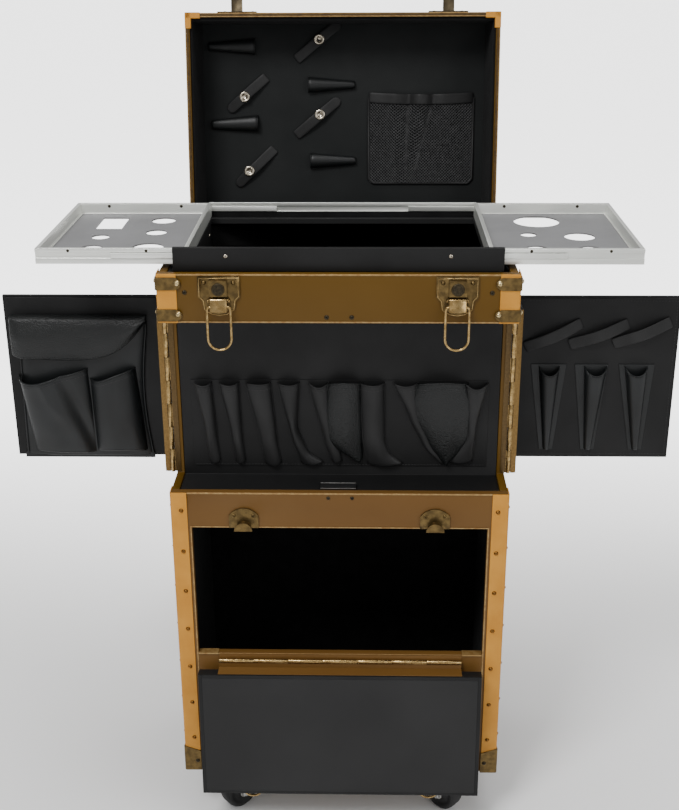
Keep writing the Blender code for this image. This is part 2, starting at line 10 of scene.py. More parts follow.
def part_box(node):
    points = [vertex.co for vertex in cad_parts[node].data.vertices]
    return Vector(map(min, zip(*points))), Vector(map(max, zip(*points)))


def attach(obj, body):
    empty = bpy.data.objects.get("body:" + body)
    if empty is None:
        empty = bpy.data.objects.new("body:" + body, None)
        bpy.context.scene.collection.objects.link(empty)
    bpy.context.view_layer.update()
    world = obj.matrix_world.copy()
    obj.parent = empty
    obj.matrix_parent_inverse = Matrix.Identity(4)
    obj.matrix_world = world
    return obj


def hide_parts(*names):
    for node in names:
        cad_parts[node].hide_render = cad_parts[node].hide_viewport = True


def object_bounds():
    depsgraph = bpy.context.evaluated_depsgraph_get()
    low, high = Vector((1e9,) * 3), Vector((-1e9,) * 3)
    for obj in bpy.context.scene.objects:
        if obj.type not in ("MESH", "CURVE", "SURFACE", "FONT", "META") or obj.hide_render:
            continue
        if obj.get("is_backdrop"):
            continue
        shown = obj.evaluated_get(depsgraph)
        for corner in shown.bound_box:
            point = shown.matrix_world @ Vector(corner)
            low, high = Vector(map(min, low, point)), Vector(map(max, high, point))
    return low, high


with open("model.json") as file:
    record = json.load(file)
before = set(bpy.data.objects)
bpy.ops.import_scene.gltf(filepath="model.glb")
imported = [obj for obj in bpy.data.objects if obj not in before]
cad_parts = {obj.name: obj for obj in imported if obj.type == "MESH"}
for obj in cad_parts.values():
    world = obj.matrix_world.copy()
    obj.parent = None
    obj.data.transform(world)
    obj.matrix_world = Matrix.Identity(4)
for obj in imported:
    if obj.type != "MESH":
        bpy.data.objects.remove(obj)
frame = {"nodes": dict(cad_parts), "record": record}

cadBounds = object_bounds()
mm = 0.001
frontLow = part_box("front_frame")[0]
bodyOfNode = {node: body for body, nodes in frame["record"]["behaviour"]["bodies"].items() for node in nodes}
slotOfNode = {part["node"]: part["material_slot"] for part in frame["record"]["subparts"]}


# places, in millimetres from the middle of the case's lower front edge

hinges = {"lidY": 220.8, "lidZ": 573.4, "lidRim": 1.25, "lidTurn": 98.7, "dropY": -4.0, "dropZ": 144.5, "dropTurn": 177.0, "doorX": 174.5, "doorY": 47.0}


def caseAt(x, y, z):
    return Vector((x * mm, frontLow[1] + y * mm, frontLow[2] + z * mm))


def lidAt(x, s, d):
    # s runs from the hinge along the lid, d from its rim down to its top board
    turn = math.radians(hinges["lidTurn"])
    deep = d + hinges["lidRim"]
    y = hinges["lidY"] - s * math.cos(turn) + deep * math.sin(turn)
    z = hinges["lidZ"] + s * math.sin(turn) + deep * math.cos(turn)
    return caseAt(x, y, z)


def dropAt(x, y, z):
    turn = math.radians(hinges["dropTurn"])
    a, b = y - hinges["dropY"], z - hinges["dropZ"]
    y = hinges["dropY"] + a * math.cos(turn) - b * math.sin(turn)
    z = hinges["dropZ"] + a * math.sin(turn) + b * math.cos(turn)
    return caseAt(x, y, z)


def doorAt(side):
    def place(x, y, z):
        return caseAt(side * (2 * hinges["doorX"] - x), 2 * hinges["doorY"] - y, z)
    return place


# materials

def surface(name, colour, rough, metal=0.0, grain=None, mottle=None, sheen=0.0, gloss=0.5):
    mat = bpy.data.materials.new(name)
    mat.use_nodes = True
    nodes, links = mat.node_tree.nodes, mat.node_tree.links
    shader = nodes["Principled BSDF"]
    shader.inputs["Base Color"].default_value = (*colour, 1)
    shader.inputs["Roughness"].default_value = rough
    shader.inputs["Metallic"].default_value = metal
    shader.inputs["Sheen Weight"].default_value = sheen
    shader.inputs["Specular IOR Level"].default_value = gloss
    coords = nodes.new("ShaderNodeTexCoord")
    if mottle:
        blotch = nodes.new("ShaderNodeTexNoise")
        blotch.inputs["Scale"].default_value = mottle["scale"]
        blotch.inputs["Detail"].default_value = 5
        links.new(coords.outputs["Object"], blotch.inputs["Vector"])
        ramp = nodes.new("ShaderNodeMapRange")
        ramp.inputs["From Min"].default_value = 0.35
        ramp.inputs["From Max"].default_value = 0.65
        links.new(blotch.outputs["Fac"], ramp.inputs["Value"])
        tint = nodes.new("ShaderNodeMix")
        tint.data_type = "RGBA"
        tint.inputs[6].default_value = (*colour, 1)
        tint.inputs[7].default_value = (*mottle["colour"], 1)
        links.new(ramp.outputs["Result"], tint.inputs["Factor"])
        links.new(tint.outputs[2], shader.inputs["Base Color"])
        wear = nodes.new("ShaderNodeMapRange")
        wear.inputs["To Min"].default_value = rough
        wear.inputs["To Max"].default_value = mottle.get("rough", rough)
        links.new(ramp.outputs["Result"], wear.inputs["Value"])
        links.new(wear.outputs["Result"], shader.inputs["Roughness"])
    if grain:
        stretch = nodes.new("ShaderNodeMapping")
        stretch.inputs["Scale"].default_value = grain.get("stretch", (1, 1, 1))
        links.new(coords.outputs["Object"], stretch.inputs["Vector"])
        kind = "ShaderNodeTexVoronoi" if grain["kind"] == "pebble" else "ShaderNodeTexNoise"
        pattern = nodes.new(kind)
        pattern.inputs["Scale"].default_value = grain["scale"]
        links.new(stretch.outputs["Vector"], pattern.inputs["Vector"])
        out = pattern.outputs["Distance"] if grain["kind"] == "pebble" else pattern.outputs["Fac"]
        bump = nodes.new("ShaderNodeBump")
        bump.inputs["Strength"].default_value = grain["strength"]
        bump.inputs["Distance"].default_value = grain["depth"] * mm
        bump.invert = grain["kind"] == "pebble"
        links.new(out, bump.inputs["Height"])
        links.new(bump.outputs["Normal"], shader.inputs["Normal"])
    return mat


def grey(level):
    return (level, level, level * 1.02)


def fine(scale, depth, strength=0.5, kind="noise", stretch=(1, 1, 1)):
    return {"kind": kind, "scale": scale, "depth": depth, "strength": strength, "stretch": stretch}


def patches(scale, colour, rough):
    return {"scale": scale, "colour": colour, "rough": rough}


finishes = {
    "brown": surface("brownLeatherette", (0.092, 0.045, 0.003), 0.45, grain=fine(1800, 0.12), mottle=patches(9, (0.083, 0.04, 0.002), 0.52), gloss=0.2),
    "rail": surface("railLeatherette", (0.125, 0.061, 0.014), 0.46, grain=fine(1800, 0.12), mottle=patches(9, (0.112, 0.053, 0.011), 0.54), gloss=0.2),
    "edging": surface("paleEdging", (0.31, 0.2, 0.075), 0.34, 0.35, grain=fine(500, 0.1, 0.3), mottle=patches(220, (0.22, 0.115, 0.03), 0.42)),
    "darkEdging": surface("darkEdging", (0.095, 0.052, 0.012), 0.36, 0.5, grain=fine(500, 0.1, 0.3), mottle=patches(220, (0.05, 0.028, 0.008), 0.45)),
    "tan": surface("tanLeather", (0.52, 0.235, 0.03), 0.5, grain=fine(1100, 0.14, 0.5, "pebble"), mottle=patches(34, (0.45, 0.19, 0.022), 0.6), gloss=0.25),
    "bronze": surface("antiqueBronze", (0.15, 0.098, 0.034), 0.3, 0.85, grain=fine(300, 0.1, 0.3), mottle=patches(170, (0.075, 0.048, 0.017), 0.42)),
    "darkBronze": surface("darkBronze", (0.055, 0.042, 0.022), 0.32, 0.85, grain=fine(300, 0.1, 0.3), mottle=patches(170, (0.03, 0.022, 0.012), 0.42)),
    "brass": surface("agedBrass", (0.46, 0.32, 0.14), 0.2, 0.95, grain=fine(300, 0.04, 0.25), mottle=patches(240, (0.26, 0.165, 0.06), 0.32)),
    "leaf": surface("hingeLeaf", (0.2, 0.118, 0.033), 0.36, 0.6, grain=fine(600, 0.1, 0.4), mottle=patches(500, (0.14, 0.078, 0.018), 0.46)),
    # shadedHingeLeaf: the hinge leaf finish at half brightness, painted shade for the case-side hinge leaves
    "shadedLeaf": surface("shadedHingeLeaf", (0.1, 0.06, 0.018), 0.38, 0.6, grain=fine(600, 0.1, 0.4), mottle=patches(500, (0.07, 0.04, 0.011), 0.46)),
    "rivet": surface("rivetBronze", (0.22, 0.105, 0.022), 0.2, 0.9, mottle=patches(600, (0.12, 0.05, 0.01), 0.3)),
    "paleRivet": surface("paleRivet", (0.62, 0.5, 0.27), 0.2, 0.9, mottle=patches(600, (0.3, 0.22, 0.1), 0.34)),
    "screw": surface("darkScrew", (0.05, 0.038, 0.02), 0.3, 0.8, mottle=patches(600, (0.022, 0.017, 0.01), 0.45)),
    "slot": surface("screwSlot", (0.002, 0.002, 0.002), 0.8, mottle=patches(600, (0.001, 0.001, 0.001), 0.9), gloss=0.1),
    "aluminium": surface("satinAluminium", (0.8, 0.81, 0.77), 0.33, 0.7, grain=fine(900, 0.05, 0.3, stretch=(0.04, 1, 1)), mottle=patches(12, (0.7, 0.71, 0.67), 0.42)),
    "greyPlate": surface("greyTrayPlate", grey(0.17), 0.5, grain=fine(1400, 0.1), mottle=patches(14, grey(0.145), 0.58), gloss=0.4),
    "board": surface("blackBoard", grey(0.0085), 0.5, grain=fine(1500, 0.1, 0.5, "pebble"), mottle=patches(16, grey(0.006), 0.6), gloss=0.22),
    "felt": surface("blackFelt", grey(0.011), 0.95, sheen=0.02, grain=fine(1500, 0.3, 0.7), mottle=patches(60, grey(0.008), 1.0), gloss=0.05),
    "lidBoard": surface("lidLining", (0.0085, 0.0095, 0.0095), 0.6, grain=fine(1300, 0.16, 0.7), mottle=patches(14, (0.006, 0.007, 0.007), 0.7), gloss=0.2),
    "leather": surface("blackLeatherette", (0.0065, 0.0075, 0.008), 0.36, grain=fine(1250, 0.15, 0.6, "pebble"), mottle=patches(24, (0.0045, 0.005, 0.005), 0.46), gloss=0.34),
    "sleeve": surface("pocketCloth", grey(0.011), 0.48, grain=fine(1500, 0.15, 0.6), mottle=patches(24, grey(0.008), 0.58), gloss=0.3),
    "pebbled": surface("pebbledLeather", (0.0045, 0.0052, 0.0052), 0.36, grain=fine(680, 0.45, 0.9, "pebble"), mottle=patches(30, (0.0042, 0.0048, 0.0048), 0.44), gloss=0.34),
    "mesh": surface("meshFabric", grey(0.055), 0.55, mottle=patches(200, grey(0.03), 0.65), gloss=0.4),
    "webbing": surface("blackWebbing", grey(0.009), 0.55, grain=fine(900, 0.25, 0.7, stretch=(1, 1, 0.25)), mottle=patches(40, grey(0.006), 0.65), gloss=0.35),
    "thread": surface("blackThread", grey(0.035), 0.6, mottle=patches(500, grey(0.02), 0.7), gloss=0.4),
    "dropBoard": surface("dropDoorLining", grey(0.0155), 0.46, grain=fine(1500, 0.1, 0.45, "pebble"), mottle=patches(10, grey(0.0125), 0.54), gloss=0.22),
    "nickel": surface("snapNickel", (0.66, 0.6, 0.5), 0.16, 0.95, mottle=patches(500, (0.3, 0.26, 0.2), 0.28)),
    "steel": surface("zincSteel", (0.5, 0.5, 0.48), 0.3, 0.95, grain=fine(400, 0.1, 0.3), mottle=patches(80, (0.3, 0.3, 0.29), 0.42)),
    "rubber": surface("blackRubber", grey(0.012), 0.55, grain=fine(700, 0.2), mottle=patches(40, grey(0.008), 0.7), gloss=0.35),
    "plastic": surface("blackPlastic", grey(0.009), 0.35, grain=fine(900, 0.08, 0.4), mottle=patches(40, grey(0.006), 0.45), gloss=0.45),
}


# making meshes

def finishPiece(obj, body, slotName):
    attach(obj, body)
    return obj


def pieceFrom(name, bm, mat, body, slotName, smooth=False, closed=True):
    if closed:
        bmesh.ops.recalc_face_normals(bm, faces=bm.faces)
    mesh = bpy.data.meshes.new(name)
    bm.to_mesh(mesh)
    bm.free()
    mesh.materials.append(finishes[mat])
    for face in mesh.polygons:
        face.use_smooth = smooth
    obj = bpy.data.objects.new(name, mesh)
    bpy.context.collection.objects.link(obj)
    return finishPiece(obj, body, slotName)


def rounded(obj, width, segments=2):
    edge = obj.modifiers.new("roundedEdges", "BEVEL")
    edge.width = width * mm
    edge.segments = segments
    edge.limit_method = "ANGLE"
    edge.angle_limit = math.radians(35)
    edge.harden_normals = True
    for face in obj.data.polygons:
        face.use_smooth = True
    return obj


def addPrism(bm, place, outline, low, high):
    # outline holds (x, z) pairs; low and high are the two y values
    front = [bm.verts.new(place(x, low, z)) for x, z in outline]
    back = [bm.verts.new(place(x, high, z)) for x, z in outline]
    bm.faces.new(front)
    bm.faces.new(back)
    for i in range(len(outline)):
        j = (i + 1) % len(outline)
        bm.faces.new((front[i], front[j], back[j], back[i]))


def addBox(bm, place, x0, x1, y0, y1, z0, z1):
    addPrism(bm, place, [(x0, z0), (x1, z0), (x1, z1), (x0, z1)], y0, y1)


def slabs(name, place, boxes, mat, body, slotName, round=0.5):
    bm = bmesh.new()
    for box in boxes:
        addBox(bm, place, *box)
    return rounded(pieceFrom(name, bm, mat, body, slotName), round)


def addTube(bm, points, radius, sides=8, closed=False):
    # a round cord swept along points, with its rings carried round without twisting
    count = len(points)
    across = None
    rings = []
    for i, here in enumerate(points):
        ahead = points[(i + 1) % count] if closed else points[min(i + 1, count - 1)]
        behind = points[i - 1] if closed else points[max(i - 1, 0)]
        along = (ahead - behind).normalized()
        if across is None:
            across = along.orthogonal().normalized()
        across = (across - along * across.dot(along)).normalized()
        other = along.cross(across)
        size = radius(i / max(count - 1, 1)) if callable(radius) else radius
        rings.append([
            bm.verts.new(here + (across * math.cos(t) + other * math.sin(t)) * size * mm)
            for t in (2 * math.pi * k / sides for k in range(sides))
        ])
    pairs = list(zip(rings, rings[1:]))
    if closed:
        pairs.append((rings[-1], rings[0]))
    for first, second in pairs:
        for k in range(sides):
            n = (k + 1) % sides
            bm.faces.new((first[k], first[n], second[n], second[k]))
    if not closed:
        bm.faces.new(rings[0])
        bm.faces.new(rings[-1])


def tubes(name, routes, radius, mat, body, slotName, sides=8, closed=False):
    bm = bmesh.new()
    for route in routes:
        addTube(bm, route, radius, sides, closed)
    return pieceFrom(name, bm, mat, body, slotName, smooth=True)


def addLathe(bm, centre, axis, profile, sides=20):
    # profile holds (radius, height) pairs in millimetres, from one pole or rim to the other
    axis = axis.normalized()
    across = axis.orthogonal().normalized()
    other = axis.cross(across)
    rings = []
    for radius, height in profile:
        middle = centre + axis * height * mm
        if radius < 1e-6:
            rings.append([bm.verts.new(middle)])
            continue
        rings.append([
            bm.verts.new(middle + (across * math.cos(t) + other * math.sin(t)) * radius * mm)
            for t in (2 * math.pi * k / sides for k in range(sides))
        ])
    for first, second in zip(rings, rings[1:]):
        for k in range(sides):
            n = (k + 1) % sides
            corners = [first[k % len(first)], first[n % len(first)], second[n % len(second)], second[k % len(second)]]
            unique = list(dict.fromkeys(corners))
            if len(unique) > 2:
                bm.faces.new(unique)
    for ring in (rings[0], rings[-1]):
        if len(ring) > 2:
            bm.faces.new(ring)


def patch(name, shape, across, along, thick, mat, body, slotName, subdivide=1):
    # a sewn sheet: shape(u, v) gives a point, u and v run from 0 to 1
    bm = bmesh.new()
    grid = [[bm.verts.new(shape(i / across, j / along)) for i in range(across + 1)] for j in range(along + 1)]
    for j in range(along):
        for i in range(across):
            bm.faces.new((grid[j][i], grid[j][i + 1], grid[j + 1][i + 1], grid[j + 1][i]))
    runs = ([[v.co for v in row] for row in grid], [[v.co for v in column] for column in zip(*grid)])
    whole = sum(face.calc_area() for face in bm.faces)
    obj = pieceFrom(name, bm, mat, body, slotName, smooth=True, closed=False)
    wall = obj.modifiers.new("clothThickness", "SOLIDIFY")
    wall.thickness = thick * mm
    wall.offset = 0
    if subdivide:
        sub = obj.modifiers.new("smoothCloth", "SUBSURF")
        sub.levels = sub.render_levels = subdivide
    return obj


def soften(node, mat, width, angle=35, segments=2):
    # the CAD solid with its sharp edges eased, in a better finish
    bm = bmesh.new()
    bm.from_mesh(frame["nodes"][node].data)
    bmesh.ops.remove_doubles(bm, verts=bm.verts, dist=1e-6)
    bmesh.ops.dissolve_limit(bm, angle_limit=math.radians(1), verts=bm.verts, edges=bm.edges)
    obj = pieceFrom("eased_" + node, bm, mat, bodyOfNode[node], slotOfNode[node], smooth=True, closed=False)
    if not width:
        for face in obj.data.polygons:
            face.use_smooth = False
        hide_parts(node)
        return obj
    edge = obj.modifiers.new("easedEdges", "BEVEL")
    edge.width = width * mm
    edge.segments = segments
    edge.limit_method = "ANGLE"
    edge.angle_limit = math.radians(angle)
    edge.harden_normals = True
    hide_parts(node)
    return obj


def repaint(obj, mat, test):
    # a second finish on the faces that pass the test, given their middle and their outward direction
    obj.data.materials.append(finishes[mat])
    for face in obj.data.polygons:
        if test(face.center, face.normal):
            face.material_index = len(obj.data.materials) - 1
    return obj


# scattering of studs, screws and stitches

def scatterTree():
    tree = bpy.data.node_groups.new("setPieces", "GeometryNodeTree")
    face = tree.interface
    face.new_socket("Geometry", in_out="INPUT", socket_type="NodeSocketGeometry")
    face.new_socket("Piece", in_out="INPUT", socket_type="NodeSocketObject")
    face.new_socket("Size", in_out="INPUT", socket_type="NodeSocketFloat")
    face.new_socket("Finish", in_out="INPUT", socket_type="NodeSocketMaterial")
    face.new_socket("Geometry", in_out="OUTPUT", socket_type="NodeSocketGeometry")
    nodes, links = tree.nodes, tree.links
    given = nodes.new("NodeGroupInput")
    made = nodes.new("NodeGroupOutput")
    piece = nodes.new("GeometryNodeObjectInfo")
    spots = nodes.new("GeometryNodeInstanceOnPoints")
    upright = nodes.new("FunctionNodeAlignRotationToVector")
    upright.axis = "Z"
    swing = nodes.new("FunctionNodeAlignRotationToVector")
    swing.axis = "X"
    swing.pivot_axis = "Z"
    for name, target in (("facing", upright), ("along", swing)):
        wanted = nodes.new("GeometryNodeInputNamedAttribute")
        wanted.data_type = "FLOAT_VECTOR"
        wanted.inputs["Name"].default_value = name
        links.new(wanted.outputs["Attribute"], target.inputs["Vector"])
    links.new(upright.outputs["Rotation"], swing.inputs["Rotation"])
    realize = nodes.new("GeometryNodeRealizeInstances")
    paint = nodes.new("GeometryNodeSetMaterial")
    links.new(given.outputs["Geometry"], spots.inputs["Points"])
    links.new(given.outputs["Piece"], piece.inputs["Object"])
    links.new(piece.outputs["Geometry"], spots.inputs["Instance"])
    links.new(swing.outputs["Rotation"], spots.inputs["Rotation"])
    links.new(given.outputs["Size"], spots.inputs["Scale"])
    links.new(spots.outputs["Instances"], realize.inputs["Geometry"])
    links.new(realize.outputs["Geometry"], paint.inputs["Geometry"])
    links.new(given.outputs["Finish"], paint.inputs["Material"])
    links.new(paint.outputs["Geometry"], made.inputs["Geometry"])
    return tree


def pattern(name, build):
    bm = bmesh.new()
    build(bm)
    bmesh.ops.recalc_face_normals(bm, faces=bm.faces)
    mesh = bpy.data.meshes.new(name)
    bm.to_mesh(mesh)
    bm.free()
    obj = bpy.data.objects.new(name, mesh)
    bpy.context.collection.objects.link(obj)
    patterns.append(obj)
    return obj


patterns = []
origin, upward = Vector((0, 0, 0)), Vector((0, 0, 1))
local = lambda x, y, z: Vector((x, y, z)) * mm
setPieces = scatterTree()
domeStud = pattern("domeStud", lambda bm: addLathe(bm, origin, upward, [(0, -0.4), (2.4, -0.4), (2.5, 0.1), (2.1, 0.5), (1.8, 1.1), (1.2, 1.7), (0.5, 2.0), (0, 2.05)], 14))
panHead = pattern("panHead", lambda bm: addLathe(bm, origin, upward, [(0, -0.4), (2.6, -0.4), (2.7, 0.2), (2.3, 0.8), (1.2, 1.15), (0, 1.2)], 14))
crossSlot = pattern("crossSlot", lambda bm: (addBox(bm, local, -1.4, 1.4, -0.25, 0.25, 0.7, 1.26), addBox(bm, local, -0.25, 0.25, -1.4, 1.4, 0.7, 1.25)))
stitch = pattern("stitch", lambda bm: addLathe(bm, Vector((-0.0011, 0, 0)), Vector((1, 0, 0)), [(0, 0), (0.22, 0.3), (0.26, 1.1), (0.22, 1.9), (0, 2.2)], 5))


def scatter(name, spots, piece, size, mat, body, slotName):
    # spots holds (point, facing, along)
    mesh = bpy.data.meshes.new(name + "_spots")
    mesh.from_pydata([spot[0] for spot in spots], [], [])
    for label, index in (("facing", 1), ("along", 2)):
        attribute = mesh.attributes.new(label, "FLOAT_VECTOR", "POINT")
        attribute.data.foreach_set("vector", [c for spot in spots for c in spot[index]])
    carrier = bpy.data.objects.new(name + "_carrier", mesh)
    bpy.context.collection.objects.link(carrier)
    maker = carrier.modifiers.new("setPieces", "NODES")
    maker.node_group = setPieces
    keys = {item.name: item.identifier for item in setPieces.interface.items_tree if item.in_out == "INPUT"}
    maker[keys["Piece"]] = piece
    maker[keys["Size"]] = float(size)
    maker[keys["Finish"]] = finishes[mat]
    bpy.context.view_layer.update()
    ready = carrier.evaluated_get(bpy.context.evaluated_depsgraph_get())
    made = bpy.data.meshes.new_from_object(ready)
    made.name = name
    for face in made.polygons:
        face.use_smooth = True
    bpy.data.objects.remove(carrier, do_unlink=True)
    obj = bpy.data.objects.new(name, made)
    bpy.context.collection.objects.link(obj)
    return finishPiece(obj, body, slotName)


def screws(name, spots, size, mat, body, slotName):
    scatter(name, spots, panHead, size, mat, body, slotName)
    scatter(name + "_slots", spots, crossSlot, size, "slot", body, slotName)


def stitchSpots(route, facing, pitch=3.2):
    spots = []
    spare = pitch / 2
    for first, second in zip(route, route[1:]):
        step = second - first
        length = step.length / mm
        along = step.normalized()
        while spare < length:
            spots.append((first + along * spare * mm, facing, along))
            spare += pitch
        spare -= length
    return spots


front = Vector((0, -1, 0))
right = Vector((1, 0, 0))
print("tools and finishes ready")


# camera, light and floor

view = {"x": 28.5, "y": -1129.7, "z": 897.2, "pitch": 22.1, "yaw": 1.4, "roll": -0.3, "lens": 55.24}


def setCamera():
    pitch, yaw, roll = (math.radians(view[key]) for key in ("pitch", "yaw", "roll"))
    forward = Vector((-math.sin(yaw) * math.cos(pitch), math.cos(yaw) * math.cos(pitch), -math.sin(pitch)))
    across = forward.cross(Vector((0, 0, 1))).normalized()
    down = -across.cross(forward)
    turnedAcross = across * math.cos(roll) - down * math.sin(roll)
    turnedDown = across * math.sin(roll) + down * math.cos(roll)
    camera = bpy.data.objects.new("camera", bpy.data.cameras.new("camera"))
    camera.data.sensor_width = 36
    camera.data.lens = view["lens"]
    camera.data.clip_end = 20
    turn = Matrix((turnedAcross, -turnedDown, -forward)).transposed().to_4x4()
    camera.matrix_world = Matrix.Translation(caseAt(view["x"], view["y"], view["z"])) @ turn
    bpy.context.collection.objects.link(camera)
    bpy.context.scene.camera = camera


studio = {
    "key": ((-1.0, -1.7, 2.7), 62, 0.9), "fill": ((1.9, -1.7, 1.6), 15, 1.4),
    "top": ((0.3, 0.1, 2.9), 40, 1.4), "low": ((0, -2.6, 0.5), 4, 1.2),
}


def floorFinish():
    mat = surface("paleFloor", (0.93, 0.93, 0.93), 0.7)
    nodes, links = mat.node_tree.nodes, mat.node_tree.links
    shader = nodes["Principled BSDF"]
    where = nodes.new("ShaderNodeSeparateXYZ")
    links.new(nodes["Texture Coordinate"].outputs["Object"], where.inputs["Vector"])
    far = nodes.new("ShaderNodeMapRange")
    far.interpolation_type = "SMOOTHSTEP"
    for name, value in (("From Min", 0.1), ("From Max", 1.3), ("To Min", 0.0), ("To Max", 2.6)):
        far.inputs[name].default_value = value
    links.new(where.outputs["Y"], far.inputs["Value"])
    shader.inputs["Emission Color"].default_value = (1, 1, 1, 1)
    links.new(far.outputs["Result"], shader.inputs["Emission Strength"])
    return mat


def setLight():
    for name, (spot, power, size) in studio.items():
        lamp = bpy.data.objects.new(name, bpy.data.lights.new(name, "AREA"))
        lamp.data.energy = power
        lamp.data.size = size
        lamp.location = spot
        lamp.rotation_euler = (Vector((0, 0, 0.45)) - Vector(spot)).to_track_quat("-Z", "Y").to_euler()
        bpy.context.collection.objects.link(lamp)
    world = bpy.data.worlds.new("studioRoom")
    world.use_nodes = True
    world.node_tree.nodes["Background"].inputs["Color"].default_value = (1, 1, 1, 1)
    world.node_tree.nodes["Background"].inputs["Strength"].default_value = 0.5
    bpy.context.scene.world = world
    bm = bmesh.new()
    bmesh.ops.create_grid(bm, x_segments=2, y_segments=2, size=40)
    mesh = bpy.data.meshes.new("floor")
    bm.to_mesh(mesh)
    bm.free()
    floor = bpy.data.objects.new("floor", mesh)
    mesh.materials.append(floorFinish())
    bpy.context.collection.objects.link(floor)
    floor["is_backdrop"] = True


setCamera()
setLight()
print("camera and light set")


# case body

easedNodes = {
    "case_shell": ("brown", 0.7), "front_frame": ("rail", 0.5), "band_front": ("brown", 0.5), "door_bay_liner": ("board", 0.4),
    "bin_collar": ("board", 0.4), "tray_rail_front": ("aluminium", 0.25), "tray_rail_back": ("aluminium", 0.25),
    "catch_hook_left": ("bronze", 0.3), "catch_hook_right": ("bronze", 0.3),
    "lid_latch_plate_left": ("bronze", 0.3), "lid_latch_plate_right": ("bronze", 0.3),
    "lid_shell": ("brown", 0.7), "lid_hook_left": ("darkBronze", 0.3), "lid_hook_right": ("darkBronze", 0.3), "handle_mount": ("bronze", 0.3),
    "door_left": ("brown", 0.5), "door_right": ("brown", 0.5), "drop_door": ("rail", 0.5),
    "lid_latch_lever_left": ("brass", 0.25), "lid_latch_lever_right": ("brass", 0.25),
    "drop_latch_lever_left": ("brass", 0.25), "drop_latch_lever_right": ("brass", 0.25),
    "lock_cylinder_left": ("screw", 0.2), "lock_cylinder_right": ("screw", 0.25),
    "tray_frame_left": ("aluminium", 0.3), "tray_frame_right": ("aluminium", 0.3),
    "tray_plate_left": ("greyPlate", 0), "tray_plate_right": ("greyPlate", 0),
    "slide_front_left": ("aluminium", 0.2), "slide_front_right": ("aluminium", 0.2),
    "slide_back_left": ("aluminium", 0.2), "slide_back_right": ("aluminium", 0.2),
    "caster_fork_front_left": ("steel", 0.3), "caster_fork_front_right": ("steel", 0.3),
    "caster_fork_back_left": ("steel", 0.3), "caster_fork_back_right": ("steel", 0.3),
    "caster_plate_front_left": ("steel", 0.3), "caster_plate_front_right": ("steel", 0.3),
    "caster_plate_back_left": ("steel", 0.3), "caster_plate_back_right": ("steel", 0.3),
    "carry_handle": ("tan", 0.3),
}
eased = {node: soften(node, mat, width) for node, (mat, width) in easedNodes.items()}
for side in ("left", "right"):
    repaint(eased[f"door_{side}"], "board", lambda c, n: n.y < 0.5)
repaint(eased["drop_door"], "board", lambda c, n: n.y < 0.5)
repaint(eased["tray_rail_back"], "felt", lambda c, n: c.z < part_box("slide_back_left")[0][2] and n.y < -0.5)
for side in ("left", "right"):
    for prefix in ("lid", "drop"):
        soften(f"{prefix}_latch_loop_{side}", "brass", 0.05, angle=80)
knuckleAxes = {"back_hinge_leaf": ("lidY", "lidZ"), "lid_hinge_leaf": ("lidY", "lidZ"), "sill_hinge_leaf": ("dropY", "dropZ"), "drop_hinge_leaf": ("dropY", "dropZ")}
for node, (y, z) in knuckleAxes.items():
    axis = caseAt(0, hinges[y], hinges[z])
    leaf = soften(node, "rail", 0.15)
    repaint(leaf, "brass", lambda c, n, axis=axis: math.hypot(c.y - axis.y, c.z - axis.z) < 2.6 * mm)
for side in ("left", "right"):
    for kind in ("case", "door"):
        # case-side leaves take the half-bright copy of the leaf finish as painted shade
        leaf = soften(f"{kind}_hinge_leaf_{side}", "leaf" if kind == "door" else "shadedLeaf", 0.15)
        axis = (hinges["doorX"] * (1 if side == "right" else -1) * mm, frontLow[1] + hinges["doorY"] * mm)
        repaint(leaf, "brass", lambda c, n, axis=axis: math.hypot(c.x - axis[0], c.y - axis[1]) < 2.6 * mm)
print("frame finished")


def liningBox(name, place, x, y, z, wall, mat, body, slotName, openSide):
    # a thin lining on the inside of a hollow; openSide says which wall is left out
    (x0, x1), (y0, y1), (z0, z1) = x, y, z
    walls = {
        "left": (x0, x0 + wall, y0, y1, z0, z1), "right": (x1 - wall, x1, y0, y1, z0, z1),
        "back": (x0 + wall, x1 - wall, y1 - wall, y1, z0, z1), "floor": (x0 + wall, x1 - wall, y0, y1 - wall, z0, z0 + wall),
        "top": (x0 + wall, x1 - wall, y0, y1 - wall, z1 - wall, z1),
    }
    return slabs(name, place, [box for key, box in walls.items() if key not in openSide], mat, body, slotName, round=0.3)


liningBox("compartmentLining", caseAt, (-162.9, 162.9), (8.6, 210.3), (8.1, 331.8), 1.0, "felt", "case", "black_board", ())
liningBox("binLining", caseAt, (-162.5, 162.5), (54.4, 210.0), (340.2, 544.6), 1.0, "felt", "case", "black_board", ("top",))

trunk = {"half": 171.0, "depth": 218.5, "strip": 16.0, "proud": 1.2, "lowerTop": 342.0, "top": 571.0, "band": 523.0, "bandProud": 1.0}


